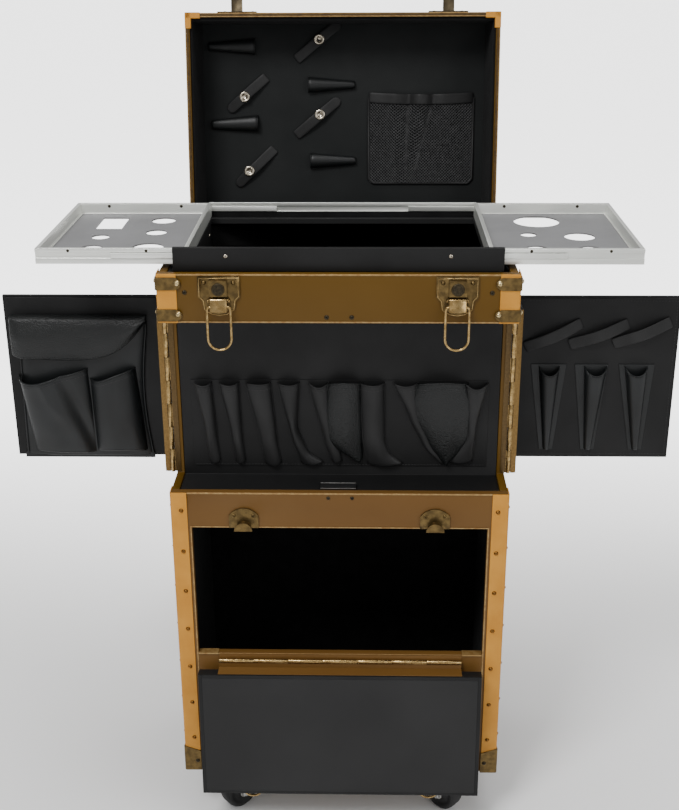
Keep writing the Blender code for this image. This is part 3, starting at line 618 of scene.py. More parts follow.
def addCornerWrap(bm, sideX, frontY, wayY, width, z0, z1, proud, cut=0.0, half=None, tab=0.0):
    # an L of hide or metal round one upright corner; cut lowers its top away from the corner, tab adds a rounded tongue
    half = trunk["half"] if half is None else half
    radius = 2.2
    outer, inner = [], []
    outerCorner = (half + proud, frontY - wayY * proud)
    bend = [(math.cos(a), math.sin(a)) for a in (math.radians(15 * k) for k in range(7))]
    outer.append((half - width, frontY - wayY * proud))
    for c, s in reversed(bend):
        outer.append((outerCorner[0] - radius + radius * c, outerCorner[1] + wayY * (radius - radius * s)))
    outer.append((half + proud, frontY + wayY * width))
    inner.append((half - width, frontY + wayY * 0.02))
    for c, s in reversed(bend):
        inner.append((half - 0.02, frontY + wayY * 0.02))
    inner.append((half - 0.02, frontY + wayY * width))
    taper = [0.0] * len(outer)
    if tab:
        shortening = [(tab, 0.36), (tab * 0.8, 0.22), (tab * 0.45, 0.08)]
        outer[:0] = [(half - width - reach, outer[0][1]) for reach, _ in shortening]
        inner[:0] = [(half - width - reach, inner[0][1]) for reach, _ in shortening]
        taper[:0] = [pinch for _, pinch in shortening]
    steps = len(outer)
    rows = []
    for i in range(steps):
        drop = cut if i in (0, steps - 1) else 0
        pinch = taper[i] * (z1 - z0)
        low, high = z0 + pinch, z1 - drop - pinch
        rows.append([
            bm.verts.new(caseAt(sideX * p[0], p[1], z)) for p, z in
            ((outer[i], low), (outer[i], high), (inner[i], high), (inner[i], low))
        ])
    for first, second in zip(rows, rows[1:]):
        for k in range(4):
            n = (k + 1) % 4
            bm.faces.new((first[k], first[n], second[n], second[k]))
    bm.faces.new(rows[0])
    bm.faces.new(rows[-1])


def cleaned(bm):
    bmesh.ops.remove_doubles(bm, verts=bm.verts, dist=1e-6)
    bmesh.ops.dissolve_degenerate(bm, edges=bm.edges, dist=1e-6)


studHeights = [322, 275, 228, 182, 135, 89, 43]


def dressCorners():
    strips, caps = bmesh.new(), bmesh.new()
    studs = []
    for sideX in (-1, 1):
        for frontY, wayY in ((0.0, 1), (trunk["depth"], -1)):
            facing = Vector((0, -wayY, 0))
            sideFacing = Vector((sideX, 0, 0))
            wide = trunk["strip"] if wayY > 0 else 14.0
            if wayY > 0:
                addCornerWrap(strips, sideX, frontY, wayY, wide, 6, trunk["lowerTop"] - 0.2, trunk["proud"])
            else:
                continue
            addCornerWrap(caps, sideX, frontY, wayY, 16.6, -0.6, 31.0, 2.2, cut=6.0)
            for z in studHeights:
                studs.append((caseAt(sideX * 161.0, -trunk["proud"], z), facing, right))
                studs.append((caseAt(sideX * (trunk["half"] + trunk["proud"]), 9.5, z + 1), sideFacing, Vector((0, 1, 0))))
            screwSpots.append((caseAt(sideX * 158.5, -2.2, 12.4), facing, right))
            screwSpots.append((caseAt(sideX * (trunk["half"] + 2.2), 9.5, 12.4), sideFacing, Vector((0, 1, 0))))
    for bm in (strips, caps):
        cleaned(bm)
    rounded(pieceFrom("cornerStrips", strips, "tan", "case", "handle_grip", smooth=True), 0.3)
    rounded(pieceFrom("bottomCaps", caps, "bronze", "case", "bronze", smooth=True), 0.3)
    scatter("stripStuds", studs, domeStud, 0.95, "rivet", "case", "bronze")
    screws("capScrews", screwSpots, 0.85, "screw", "case", "bronze")


screwSpots = []
dressCorners()


def dressBack():
    # flat hide strips down the sides near the back edge, clear of the plain back face
    bm = bmesh.new()
    studs = []
    for sideX in (-1, 1):
        outer = sideX * (trunk["half"] + trunk["proud"])
        addBox(bm, caseAt, *sorted((sideX * (trunk["half"] - 0.02), outer)), 200.5, 217.5, 6, trunk["top"] - 1)
        for z in studHeights + [368, 414, 460, 506, 552]:
            studs.append((caseAt(outer, 209, z), Vector((sideX, 0, 0)), Vector((0, 1, 0))))
    rounded(pieceFrom("rearStrips", bm, "tan", "case", "handle_grip"), 0.4)
    scatter("rearStuds", studs, domeStud, 0.95, "rivet", "case", "bronze")
    bm = bmesh.new()
    for sideX in (-1, 1):
        addBox(bm, caseAt, *sorted((sideX * (trunk["half"] - 0.02), sideX * (trunk["half"] + 2.2))), 199.5, 217.8, -0.6, 29)
    rounded(pieceFrom("rearCaps", bm, "bronze", "case", "bronze"), 0.4)


dressBack()


def dressBand():
    half, low, high = trunk["half"] + trunk["bandProud"], trunk["band"], trunk["top"]
    edging = [(-half + 0.1, half - 0.1, -0.5, 0.1, high - 1.5, high + 0.2), (-half + 0.1, half - 0.1, -0.5, 0.1, low - 0.2, low + 1.3)]
    slabs("bandEdging", caseAt, edging, "edging", "case", "brown_panel", 0.25)
    hides, straps = bmesh.new(), bmesh.new()
    for sideX in (-1, 1):
        addCornerWrap(hides, sideX, 0.0, 1, 18.6, low - 0.3, high + 0.3, 0.9, half=half)
        for z0, z1 in ((555.5, 568.0), (524.5, 536.5)):
            addCornerWrap(straps, sideX, 0.0, 1, 17.0, z0, z1, 2.0, half=half, tab=5.8)
    for bm in (hides, straps):
        cleaned(bm)
    rounded(pieceFrom("bandHides", hides, "tan", "case", "handle_grip", smooth=True), 0.3)
    rounded(pieceFrom("bandStraps", straps, "bronze", "case", "bronze", smooth=True), 0.3)
    rivets = [(caseAt(sideX * 152.4, -2.0, z), front, right) for sideX in (-1, 1) for z in (562.3, 531.8)]
    rivets += [(caseAt(sideX * (half + 2.0), 10, z), Vector((sideX, 0, 0)), Vector((0, 1, 0))) for sideX in (-1, 1) for z in (561.8, 530.5)]
    scatter("bandRivets", rivets, domeStud, 1.3, "paleRivet", "case", "bronze")
    spots = [(-145.8, 553), (145.8, 553), (-11, 528.5), (13, 528.5)]
    screws("bandScrews", [(caseAt(x, 0, z), front, Vector((0.8, 0, 0.6))) for x, z in spots], 0.85, "screw", "case", "bronze")


dressBand()


def dressLatches():
    rivets, rims = [], []
    for x in (-113, 113):
        rivets += [(caseAt(x + dx, -1.9, 563.3), front, right) for dx in (-14, 14)]
        outline = [(-18.6, 567.4), (-18.6, 549.6), (-14.8, 545.6), (-13.8, 536.5), (-7, 532.2), (0, 531.2), (7, 532.2), (13.8, 536.5), (14.8, 545.6), (18.6, 549.6), (18.6, 567.4)]
        rims.append([caseAt(x + dx, -1.95, z) for dx, z in outline])
    scatter("latchRivets", rivets, domeStud, 0.9, "bronze", "case", "bronze")
    tubes("latchBeads", rims, 0.55, "brass", "case", "bronze", sides=6, closed=True)
    bm = bmesh.new()
    for x in (-113, 113):
        addLathe(bm, caseAt(x, -7.3, 558), front, [(5.0, 0), (6.2, 0), (6.2, 0.6), (5.4, 1.0), (5.0, 0.8)], 24)
    pins = bmesh.new()
    for x in (-113, 113):
        for way in (-1, 1):
            addLathe(pins, caseAt(x + way * 8.9, -5, 546), right * way, [(1.1, -1), (1.1, 0.4), (1.7, 0.7), (1.9, 1.2), (1.2, 1.8), (0, 1.9)], 10)
    pieceFrom("leverPins", pins, "brass", "case", "bronze", smooth=True)
    pieceFrom("lockCollars", bm, "darkBronze", "case", "bronze", smooth=True)
    spots = [(caseAt(x + dx, -1.9, 317), front, Vector((0.7, 0, 0.7))) for x in (-97.5, 97.5) for dx in (-10, 10)]
    screws("hookScrews", spots, 0.8, "bronze", "case", "bronze")


dressLatches()


def dressFrontFrame():
    edges = [
        (-154.8, 154.8, -0.6, 0.1, 340.4, 342.2), (-151.4, 151.4, -0.5, 0.1, 302.5, 303.7),
        (-152.9, -151.4, -0.5, 0.1, 30, 303.7), (151.4, 152.9, -0.5, 0.1, 30, 303.7),
    ]
    slabs("frameEdging", caseAt, edges, "edging", "case", "brown_panel", 0.25)
    slabs("sillTrim", caseAt, [(-151, -130.2, -1.6, 0.1, 150.7, 152.2), (130.2, 151, -1.6, 0.1, 150.7, 152.2), (-130.2, 130.2, -0.2, 0.1, 150.7, 151.3), (-151, -130.2, 0.1, 7.8, 151.6, 152.1), (130.2, 151, 0.1, 7.8, 151.6, 152.1)], "edging", "case", "brown_panel", 0.25)
    slabs("floorStop", caseAt, [(-19.5, 17, 9.5, 19.5, 340.1, 343.0), (-19.5, 17, 17, 19.5, 342.6, 345.6)], "plastic", "case", "black_board", 0.5)
    # thin pale steel strips along the stop's top edges are painted highlights on the black plastic
    slabs("stopEdges", caseAt, [(-19.3, 16.8, 16.6, 17.2, 345.2, 345.9), (-19.3, 16.8, 9.2, 9.8, 342.6, 343.2)], "steel", "case", "black_board", 0.1)
    slabs("ceilingStop", caseAt, [(-18, 19, 9.5, 17, 519.8, 523.2)], "plastic", "case", "black_board", 0.5)
    screws("railScrews", [(caseAt(x, 0, 336.5), front, Vector((0.7, 0, 0.7))) for x in (-11, 13)], 0.75, "screw", "case", "bronze")


dressFrontFrame()


def dressBin():
    spots = [(caseAt(x, 9.0, 586), front, Vector((0.7, 0, 0.7))) for x in (-106.5, 106.5)]
    spots += [(caseAt(side * 143, y, 562), Vector((-side, 0, 0)), Vector((0, 1, 0))) for side in (-1, 1) for y in (40, 180)]
    screws("collarScrews", spots, 0.75, "nickel", "case", "bronze")
    rails = [(caseAt(x, 14.3, 588), front, right) for x in (-120, 0, 120)]
    scatter("railRivets", rails, domeStud, 0.5, "nickel", "case", "aluminium")


dressBin()
print("case dressed")


# sewn goods

def loopRoute(place, points, closed=True):
    return [place(*point) for point in points]


toolPockets = [
    # edges run from foot to mouth as (x, height share) pairs
    {"left": [(-135, 0), (-138.5, 0.4), (-147.5, 1)], "right": [(-124.5, 0), (-127, 0.35), (-130.5, 1)], "foot": 356, "swell": 8.5, "dip": 2.0},
    {"left": [(-108, 0), (-112, 0.4), (-122.5, 1)], "right": [(-98.5, 0), (-101, 0.35), (-102.5, 1)], "foot": 356, "swell": 8.5, "dip": 1.5},
    {"left": [(-77, 0), (-82, 0.3), (-95.5, 1)], "right": [(-61, 0), (-65, 0.3), (-70, 1)], "foot": 354, "swell": 9.0, "dip": -0.5},
    {"left": [(-40, 0), (-50, 0.35), (-63, 1)], "right": [(-17, 0), (-33, 0.12), (-44, 0.45), (-41, 1)], "foot": 355, "swell": 9.0, "dip": 1.0},
    {"left": [(-8, 0), (-16, 0.25), (-31.5, 1)], "right": [(2, 0), (-6, 0.5), (-11, 1)], "foot": 357, "swell": 8.0, "dip": 3.5},
    {"left": [(29, 0), (23.5, 0.3), (20.5, 1)], "right": [(66, 0), (52, 0.1), (46.5, 0.3), (45.5, 1)], "foot": 354, "swell": 9.5, "dip": 0.5},
    {"left": [(104, 0), (86, 0.2), (70, 0.6), (54.5, 1)], "right": [(108, 0), (94, 0.25), (82, 0.6), (79.5, 1)], "foot": 357, "swell": 8.0, "dip": 2.0},
    {"left": [(112, 0), (130, 0.35), (127, 1)], "right": [(137, 0), (141, 0.5), (150.5, 1)], "foot": 357, "swell": 8.0, "dip": 5.0},
]
wideSleeves = [
    {"left": [(18, 0), (-4, 0.14), (-15.5, 0.3), (-15.5, 0.65), (-12, 1)], "right": [(23, 0), (24, 0.3), (22.5, 1)], "foot": 359, "swell": 12.0, "arch": 3.5},
    {"left": [(107, 0), (92, 0.22), (74, 0.62), (73, 0.8), (79, 1)], "right": [(113, 0), (126, 0.16), (136, 0.34), (139, 0.7), (130, 1)], "foot": 356, "swell": 13.0, "arch": 4.5},
]


def alongEdge(edge, v):
    for (x0, v0), (x1, v1) in zip(edge, edge[1:]):
        if v <= v1:
            t = (v - v0) / (v1 - v0)
            return x0 + (x1 - x0) * (t * t * (3 - 2 * t) * 0.4 + t * 0.6)
    return edge[-1][0]


def makeSleeve(name, sleeve, mat, seed, arch=0.0):
    plane, mouthZ = 48.2, 444.5

    def shape(u, v):
        x0, x1 = alongEdge(sleeve["left"], v), alongEdge(sleeve["right"], v)
        x = x0 + (x1 - x0) * u
        lift = math.sin(math.pi * (0.04 + 0.96 * u)) ** 0.5 if u < 1 else 0
        fill = 0.3 + 0.7 * math.sin(min(v * 1.25 + 0.1, 1) * math.pi / 2)
        crease = noise.noise(Vector((x * 0.07, v * 2.6, seed))) * 1.4
        bow = sleeve.get("dip", 0) * math.sin(math.pi * u) - arch * math.sin(math.pi * u)
        z = sleeve["foot"] + (mouthZ - sleeve["foot"]) * v - bow * v ** 4 - (1 - v) ** 3 * 3 * math.sin(math.pi * u)
        return caseAt(x, plane - 0.4 - max(lift, 0) * (fill * sleeve["swell"] + crease), z)

    made = patch(name, shape, 16, 16, 1.1, mat, "case", "black_soft")
    bands = [[shape(u / 18, v) + Vector((0, -0.0004, 0)) for u in range(19)] for v in (0.99, 0.93)]
    tubes(name + "_hem", bands[:1], 0.9, mat, "case", "black_soft", sides=6)
    seams = [[shape(u, v / 16) + Vector((0, -0.0004, 0)) for v in range(17)] for u in (0.0, 1.0)]
    tubes(name + "_seams", seams, 0.6, mat, "case", "black_soft", sides=6)
    spots = stitchSpots([point + Vector((0, -0.0005, 0)) for point in bands[1]], front)
    scatter(name + "_stitch", spots, stitch, 1.0, "thread", "case", "black_soft")
    return made


def makeToolPockets():
    made = [makeSleeve(f"toolPocket_{index}", sleeve, "sleeve", index) for index, sleeve in enumerate(toolPockets)]
    for index, sleeve in enumerate(wideSleeves):
        makeSleeve(f"widePocket_{index}", sleeve, "pebbled", 20 + index, sleeve["arch"])
    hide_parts("tool_pockets")
    slabs("pocketBacking", caseAt, [(-152, 152, 48.3, 48.9, 350, 446)], "board", "case", "black_soft", 0.2)
    route = [caseAt(x, 48.1, 352) for x in (-150.5, 150.5)]
    scatter("backingStitch", stitchSpots(route, front), stitch, 1.0, "thread", "case", "black_soft")


makeToolPockets()


def lineDoors():
    for label, side in (("left", -1), ("right", 1)):
        place, body = doorAt(side), f"door_{label}"
        boxes = [(3.2, 167.3, 4.2, 5.5, 345.2, 520.6), (166.2, 167.4, 5.5, 44.5, 345.2, 520.6)]
        slabs(f"doorLining_{label}", place, boxes, "board", body, "black_soft", 0.5)


lineDoors()


def coneOn(name, place, mouthX, mouthWidth, mouthZ, footX, footWidth, footZ, swell, mat, body, flap=None, dip=7.5):
    # a half cone sewn to a board: place(x, rise, z) gives a point rise above the board
    def shape(u, v):
        angle = math.pi * u
        middle = footX + (mouthX - footX) * v
        half = (footWidth + (mouthWidth - footWidth) * v) / 2
        rise = (0.35 + 0.65 * v) * swell * math.sin(angle) ** 0.8
        return place(middle - half * math.cos(angle), 0.5 + rise, footZ + (mouthZ - footZ) * v - dip * math.sin(angle) ** 1.4 * v ** 4)
    obj = patch(name, shape, 12, 8, 0.9, mat, body, "black_soft")
    rim = [shape(u / 12, 1.0) for u in range(13)]
    tubes(name + "_rim", [rim], 0.6, mat, body, "black_soft", sides=6)
    if flap:
        bm = bmesh.new()
        front0 = [bm.verts.new(place(x, 0.1, z)) for x, z in flap]
        front1 = [bm.verts.new(place(x, 0.9, z)) for x, z in flap]
        bm.faces.new(front0)
        bm.faces.new(front1)
        for i in range(len(flap)):
            j = (i + 1) % len(flap)
            bm.faces.new((front0[i], front0[j], front1[j], front1[i]))
        rounded(pieceFrom(name + "_flap", bm, mat, body, "black_soft"), 0.25)
    return obj


def strapOn(name, place, start, end, width, arch, mat, body, ends=(True, True)):
    # a flat strap from start to end, its middle lifted off the board
    (x0, z0), (x1, z1) = start, end
    length = math.hypot(x1 - x0, z1 - z0)
    ax, az = (x1 - x0) / length, (z1 - z0) / length

    def shape(u, v):
        t = u
        tip = max(0, abs(2 * u - 1) - 0.9) / 0.1
        trim = 1 - 0.7 * tip ** 2.2 if ends[u > 0.5] else 1
        off = (v - 0.5) * width * trim
        rise = 1.0 + arch * math.sin(math.pi * t) ** 1.3
        return place(x0 + ax * length * t - az * off, rise, z0 + az * length * t + ax * off)
    return patch(name, shape, 18, 4, 1.3, mat, body, "black_soft")


def dressRightDoor():
    door = doorAt(1)
    place = lambda x, rise, z: door(2 * hinges["doorX"] - x, 5.6 + rise, z)
    body = "door_right"
    mouths = [(217, 21, 218.5, 5.5), (265, 23, 262.5, 6.5), (307, 23, 313, 5.8)]
    flaps = [(198, 235), (243.5, 278), (289, 326)]
    for index, ((mx, mw, fx, fw), (a, b)) in enumerate(zip(mouths, flaps)):
        flap = [(a, 449.5), (b, 449.5), (fx + 7, 353), (fx - 7, 353)]
        coneOn(f"brushCone_{index}", place, mx, mw, 447, fx, fw, 353, 10.5, "leather", body, flap)
    for index, (start, end) in enumerate((((190, 468), (248, 494.5)), ((236, 471), (296, 494)), ((281, 472), (339, 496)))):
        strapOn(f"brushStrap_{index}", place, start, end, 12.5, 6.5, "webbing", body, (False, False))
    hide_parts("brush_pockets")
    route = [place(x, 0.1, z) for x, z in ((183, 518), (344, 518), (344, 348), (183, 348), (183, 518))]
    scatter("rightDoorStitch", stitchSpots(route, front), stitch, 0.9, "thread", body, "black_soft")


dressRightDoor()


bag = {"plane": 5.7, "left": -341.0, "right": -199.0, "hem": 345.0, "fold": 498.0, "top": 502.5}


def dressLeftDoor():
    door = doorAt(-1)
    place = lambda x, rise, z: door(2 * hinges["doorX"] + x, bag["plane"] + rise, z)
    body = "door_left"

    def backShape(u, v):
        # narrows towards the foot and swells gently in the middle
        z = bag["hem"] + (bag["fold"] - bag["hem"]) * v
        left = bag["left"] + 4 + 3 * v
        edge = -201.5 - 7.5 * math.sin(math.pi * min(v * 1.08, 1)) * 0.8
        x = left + (edge - left) * u
        swell = 7.5 * math.sin(math.pi * u) ** 0.45 * math.sin(math.pi * (0.12 + 0.76 * v)) ** 0.6
        ripple = noise.noise(Vector((x * 0.05, z * 0.04, 2.0))) * 1.2
        return place(x, 0.8 + swell + ripple * math.sin(math.pi * u), z)
    backPanel = patch("bagBody", backShape, 24, 24, 1.4, "leather", body, "black_soft")
    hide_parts("door_bag")
    gussets = [[backShape(0.0 if k == 0 else 1.0, v / 20) + Vector((0, -0.0006, 0)) for v in range(21)] for k in range(2)]
    tubes("bagPiping", gussets, 1.1, "leather", body, "black_soft")

    def flapShape(u, v):
        # v runs from the fold at the board down to the curved lip
        x = bag["left"] + (bag["right"] - bag["left"]) * u
        lip = 456 + 2 * abs(2 * u - 0.8) + (u > 0.45) * ((u - 0.45) / 0.55) ** 3.0 * 42 + (u < 0.06) * (0.06 - u) / 0.06 * 3
        if v < 0.16:
            t = v / 0.16
            rise = 1 + 12.5 * math.sin(t * math.pi / 2)
            z = bag["top"] - 2.8 * (1 - math.cos(t * math.pi / 2))
        else:
            t = (v - 0.16) / 0.84
            z = bag["top"] - 2.8 - (bag["top"] - 2.8 - lip) * t
            rise = 13.5 + 3.8 * math.sin(math.pi * t) ** 0.8 - 1.5 * t
        rise += noise.noise(Vector((x * 0.045, v * 3.0, 7.0))) * 1.1 * min(v * 4, 1)
        edge = min(u, 1 - u) * 14
        rise *= 0.72 + 0.28 * min(edge, 1)
        return place(x, rise, z)
    flap = patch("bagFlap", flapShape, 36, 22, 1.7, "pebbled", body, "black_soft")
    lip = [flapShape(u / 60, 0.965) + Vector((0, -0.0011, 0)) for u in range(1, 60)]
    scatter("flapStitch", stitchSpots(lip, front, 3.0), stitch, 1.0, "thread", body, "black_soft")
    pockets = [
        {"mouth": (-338, -262), "foot": (-327, -258), "swell": 15.5, "rise": (436, 446), "deep": 10.0},
        {"mouth": (-263, -214), "foot": (-262, -207), "swell": 13.0, "rise": (437, 446), "deep": 6.5},
    ]
    for index, pocket in enumerate(pockets):
        def shape(u, v, pocket=pocket, index=index):
            (m0, m1), (f0, f1), (za, zb) = pocket["mouth"], pocket["foot"], pocket["rise"]
            x = (f0 + (m0 - f0) * v) * (1 - u) + (f1 + (m1 - f1) * v) * u
            top = za + (zb - za) * u - pocket["deep"] * math.sin(math.pi * u ** 0.6) * (1 - u) ** 1.3
            foot = 351 + (3 if index else 2) * math.sin(math.pi * u) - (2 if index == 0 else 0) * u
            z = foot + (top - foot) * v
            lift = math.sin(math.pi * min(max(u, 0), 1)) ** 0.42
            fill = 0.42 + 0.58 * math.sin(math.pi / 2 * v ** 0.8)
            fold = 0.0
            if index == 0:
                ridge = math.exp(-((u - (0.42 + 0.45 * (1 - v))) / 0.13) ** 2)
                valley = math.exp(-((u - (0.62 + 0.36 * (1 - v))) / 0.09) ** 2)
                fold = 3.6 * ridge * v ** 0.5 - 6.5 * valley * (1 - 0.35 * v)
            wave = noise.noise(Vector((x * 0.06, z * 0.035, 11.0 + index))) * 1.3
            rise = 7.5 + lift * (fill * pocket["swell"] + fold + wave) - 6.0 * (1 - lift)
            return place(x, min(rise, 23.5), z)
        patch(f"bagPocket_{index}", shape, 30, 22, 1.4, "leather", body, "black_soft")
        mouth = [shape(u / 30, 1.0) for u in range(31)]
        tubes(f"bagPocketLip_{index}", [mouth], 1.0, "leather", body, "black_soft", sides=8)
        hem = [shape(u / 30, 0.945) + Vector((0, -0.0010, 0)) for u in range(1, 30)]
        foot = [shape(u / 30, 0.02) + Vector((0, -0.0009, 0)) for u in range(1, 30)]
        spots = stitchSpots(hem, front, 3.0) + stitchSpots(foot, front, 3.0)
        scatter(f"bagStitch_{index}", spots, stitch, 1.0, "thread", body, "black_soft")
    slabs("bagHem", place, [(-340, -200, 0.4, 2.2, 341.5, 347.5)], "leather", body, "black_soft", 0.6)


dressLeftDoor()
print("doors dressed")


def dressDropDoor():
    slabs("dropLining", dropAt, [(-146.5, 146.5, 10.9, 12.2, 157.0, 297.6)], "dropBoard", "drop_door", "black_soft", 0.6)
    frameBoxes = [
        (-150.2, -146.3, 10.6, 12.0, 153.2, 301.2), (146.3, 150.2, 10.6, 12.0, 153.2, 301.2),
        (-146.3, 146.3, 10.6, 12.0, 297.4, 301.2), (-146.3, 146.3, 10.6, 12.0, 153.2, 157.2),
    ]
    slabs("dropFrame", dropAt, frameBoxes, "board", "drop_door", "black_board", 0.5)
    screwsOut = [(dropAt(x + dx, -1.4, 285), Vector((0, 1, 0)), right) for x in (-97.5, 97.5) for dx in (-11, 11)]
    scatter("dropPlateRivets", screwsOut, domeStud, 0.8, "bronze", "drop_door", "bronze")


dressDropDoor()


# lid

def dressLid():
    board = [(-161, 161, 5.6, 209.5, 56.0, 59.9)]
    place = lambda x, y, z: lidAt(x, y, z)
    slabs("lidLiningBoard", place, board, "lidBoard", "lid", "black_soft", 0.5)
    walls = bmesh.new()
    for sideX in (-1, 1):
        outline = [(163.9, 2.5), (161.6, 2.5), (157.4, 56.2), (163.9, 56.2)]
        addPrism(walls, lambda x, y, z: lidAt(x, y, z), [(sideX * x, d) for x, d in outline], 6.8, 211.2)
    addBox(walls, place, -161.5, 161.5, 207.6, 211.3, 2.5, 56.2)
    addBox(walls, place, -161.5, 161.5, 6.4, 8.8, 2.5, 56.2)
    rounded(pieceFrom("lidLiningWalls", walls, "felt", "lid", "black_soft"), 0.4)
    rim = [
        (-168.4, -165.2, 2.2, 215.5, -0.7, 4.5), (165.2, 168.4, 2.2, 215.5, -0.7, 4.5),
        (-165.3, 165.3, 211.6, 215.6, -0.7, 4.5),
    ]
    slabs("lidRim", place, rim, "darkEdging", "lid", "brown_panel", 0.5)
    lines = [(-168.7, -167.5, 2.2, 215.7, -1.0, 1.0), (167.5, 168.7, 2.2, 215.7, -1.0, 1.0), (-168, 168, 214.6, 215.8, -1.0, 1.2), (-165.6, 165.6, 211.3, 212.3, -1.0, 0.2)]
    slabs("lidBead", place, lines, "edging", "lid", "brown_panel", 0.3)
    hides = bmesh.new()
    for sideX in (-1, 1):
        outerX, innerX = sideX * 169.0, sideX * 162.4
        a, b = sorted((outerX, innerX))
        addBox(hides, place, a, b, 199.5, 216.4, -1.2, 20)
        c, d = sorted((sideX * 152.5, sideX * 168.6))
        addBox(hides, place, c, d, 209.9, 216.4, -1.2, 20)
        addBox(hides, place, a, b, 2.0, 9.0, -1.0, 18)
    rounded(pieceFrom("lidHides", hides, "tan", "lid", "handle_grip"), 0.8)
    outerHides = bmesh.new()
    for sideX in (-1, 1):
        for s0, s1 in ((198, 216.3), (2.6, 21)):
            a, b = sorted((sideX * 148, sideX * 169.0))
            addBox(outerHides, place, a, b, s0, s1, 63.9, 65.1)
            a, b = sorted((sideX * 167.9, sideX * 169.0))
            addBox(outerHides, place, a, b, s0, s1, 49, 65.1)
        a, b = sorted((sideX * 148, sideX * 169.0))
        addBox(outerHides, place, a, b, 214.9, 216.3, 49, 65.1)
    rounded(pieceFrom("lidRearHides", outerHides, "tan", "lid", "handle_grip"), 0.5)
    studs = [(lidAt(x, 215.3, 30), Vector((0, 0.15, 0.99)), right) for x in (-50, 1, 52)]
    scatter("lidStuds", studs, domeStud, 1.0, "rivet", "lid", "bronze")
    spots = [(lidAt(x + dx, 217.1, 9), Vector((0, 0.15, 0.99)), right) for x in (-111.5, 113) for dx in (-15, 15)]
    screws("lidHookScrews", spots, 0.75, "bronze", "lid", "bronze")


dressLid()


def lidBoardAt(x, rise, s):
    return lidAt(x, s, 55.8 - rise)


lidCones = [
    {"wide": (-99, 183.5), "narrow": (-151, 183.5), "size": (17, 8)}, {"wide": (-39, 142), "narrow": (13, 142), "size": (17, 8)},
    {"wide": (-97, 100), "narrow": (-149, 98.5), "size": (18, 10)}, {"wide": (-37, 58.5), "narrow": (14, 58.5), "size": (17, 8)},
]
lidStraps = [
    {"from": (-53, 169), "to": (-4, 209), "snap": (-27, 191), "round": (False, True)}, {"from": (-130, 113), "to": (-86, 151), "snap": (-111, 129), "round": (True, False)},
    {"from": (-54, 86), "to": (-4, 127), "snap": (-26.5, 109.5), "round": (False, True)}, {"from": (-122, 30), "to": (-78, 72), "snap": (-107, 47), "round": (True, False)},
]


def furnishLid():
    for index, cone in enumerate(lidCones):
        (wx, ws), (nx, ns), (big, small) = cone["wide"], cone["narrow"], cone["size"]

        def shape(u, v, wx=wx, ws=ws, nx=nx, ns=ns, big=big, small=small):
            angle = math.pi * u
            half = (small + (big - small) * v) / 2
            rise = 0.6 + (4.5 + 3.5 * v) * math.sin(angle) ** 0.8
            return lidBoardAt(nx + (wx - nx) * v, rise, ns + (ws - ns) * v - half * math.cos(angle))
        patch(f"lidCone_{index}", shape, 12, 8, 0.9, "leather", "lid", "black_soft")
        tubes(f"lidConeRim_{index}", [[shape(u / 12, 1) for u in range(13)]], 0.6, "leather", "lid", "black_soft", sides=6)
    snaps = bmesh.new()
    outward = lidAt(0, 0, 0) - lidAt(0, 0, 1)
    for index, strap in enumerate(lidStraps):
        strapOn(f"lidStrap_{index}", lidBoardAt, strap["from"], strap["to"], 11.5, 4.0, "webbing", "lid", strap["round"])
        x, s = strap["snap"]
        addLathe(snaps, lidBoardAt(x, 5.4, s), outward, [(0, 0.2), (2.4, 0.2), (2.8, 0.9), (3.4, 1.6), (5.2, 1.8), (5.8, 1.2), (6.0, 0.2), (5.8, -0.6), (0, -0.6)], 24)
    pieceFrom("lidSnaps", snaps, "nickel", "lid", "bronze", smooth=True)


furnishLid()


netPocket = {"left": 29.5, "right": 145.0, "foot": 34.0, "mouth": 128.0, "cell": 3.3}


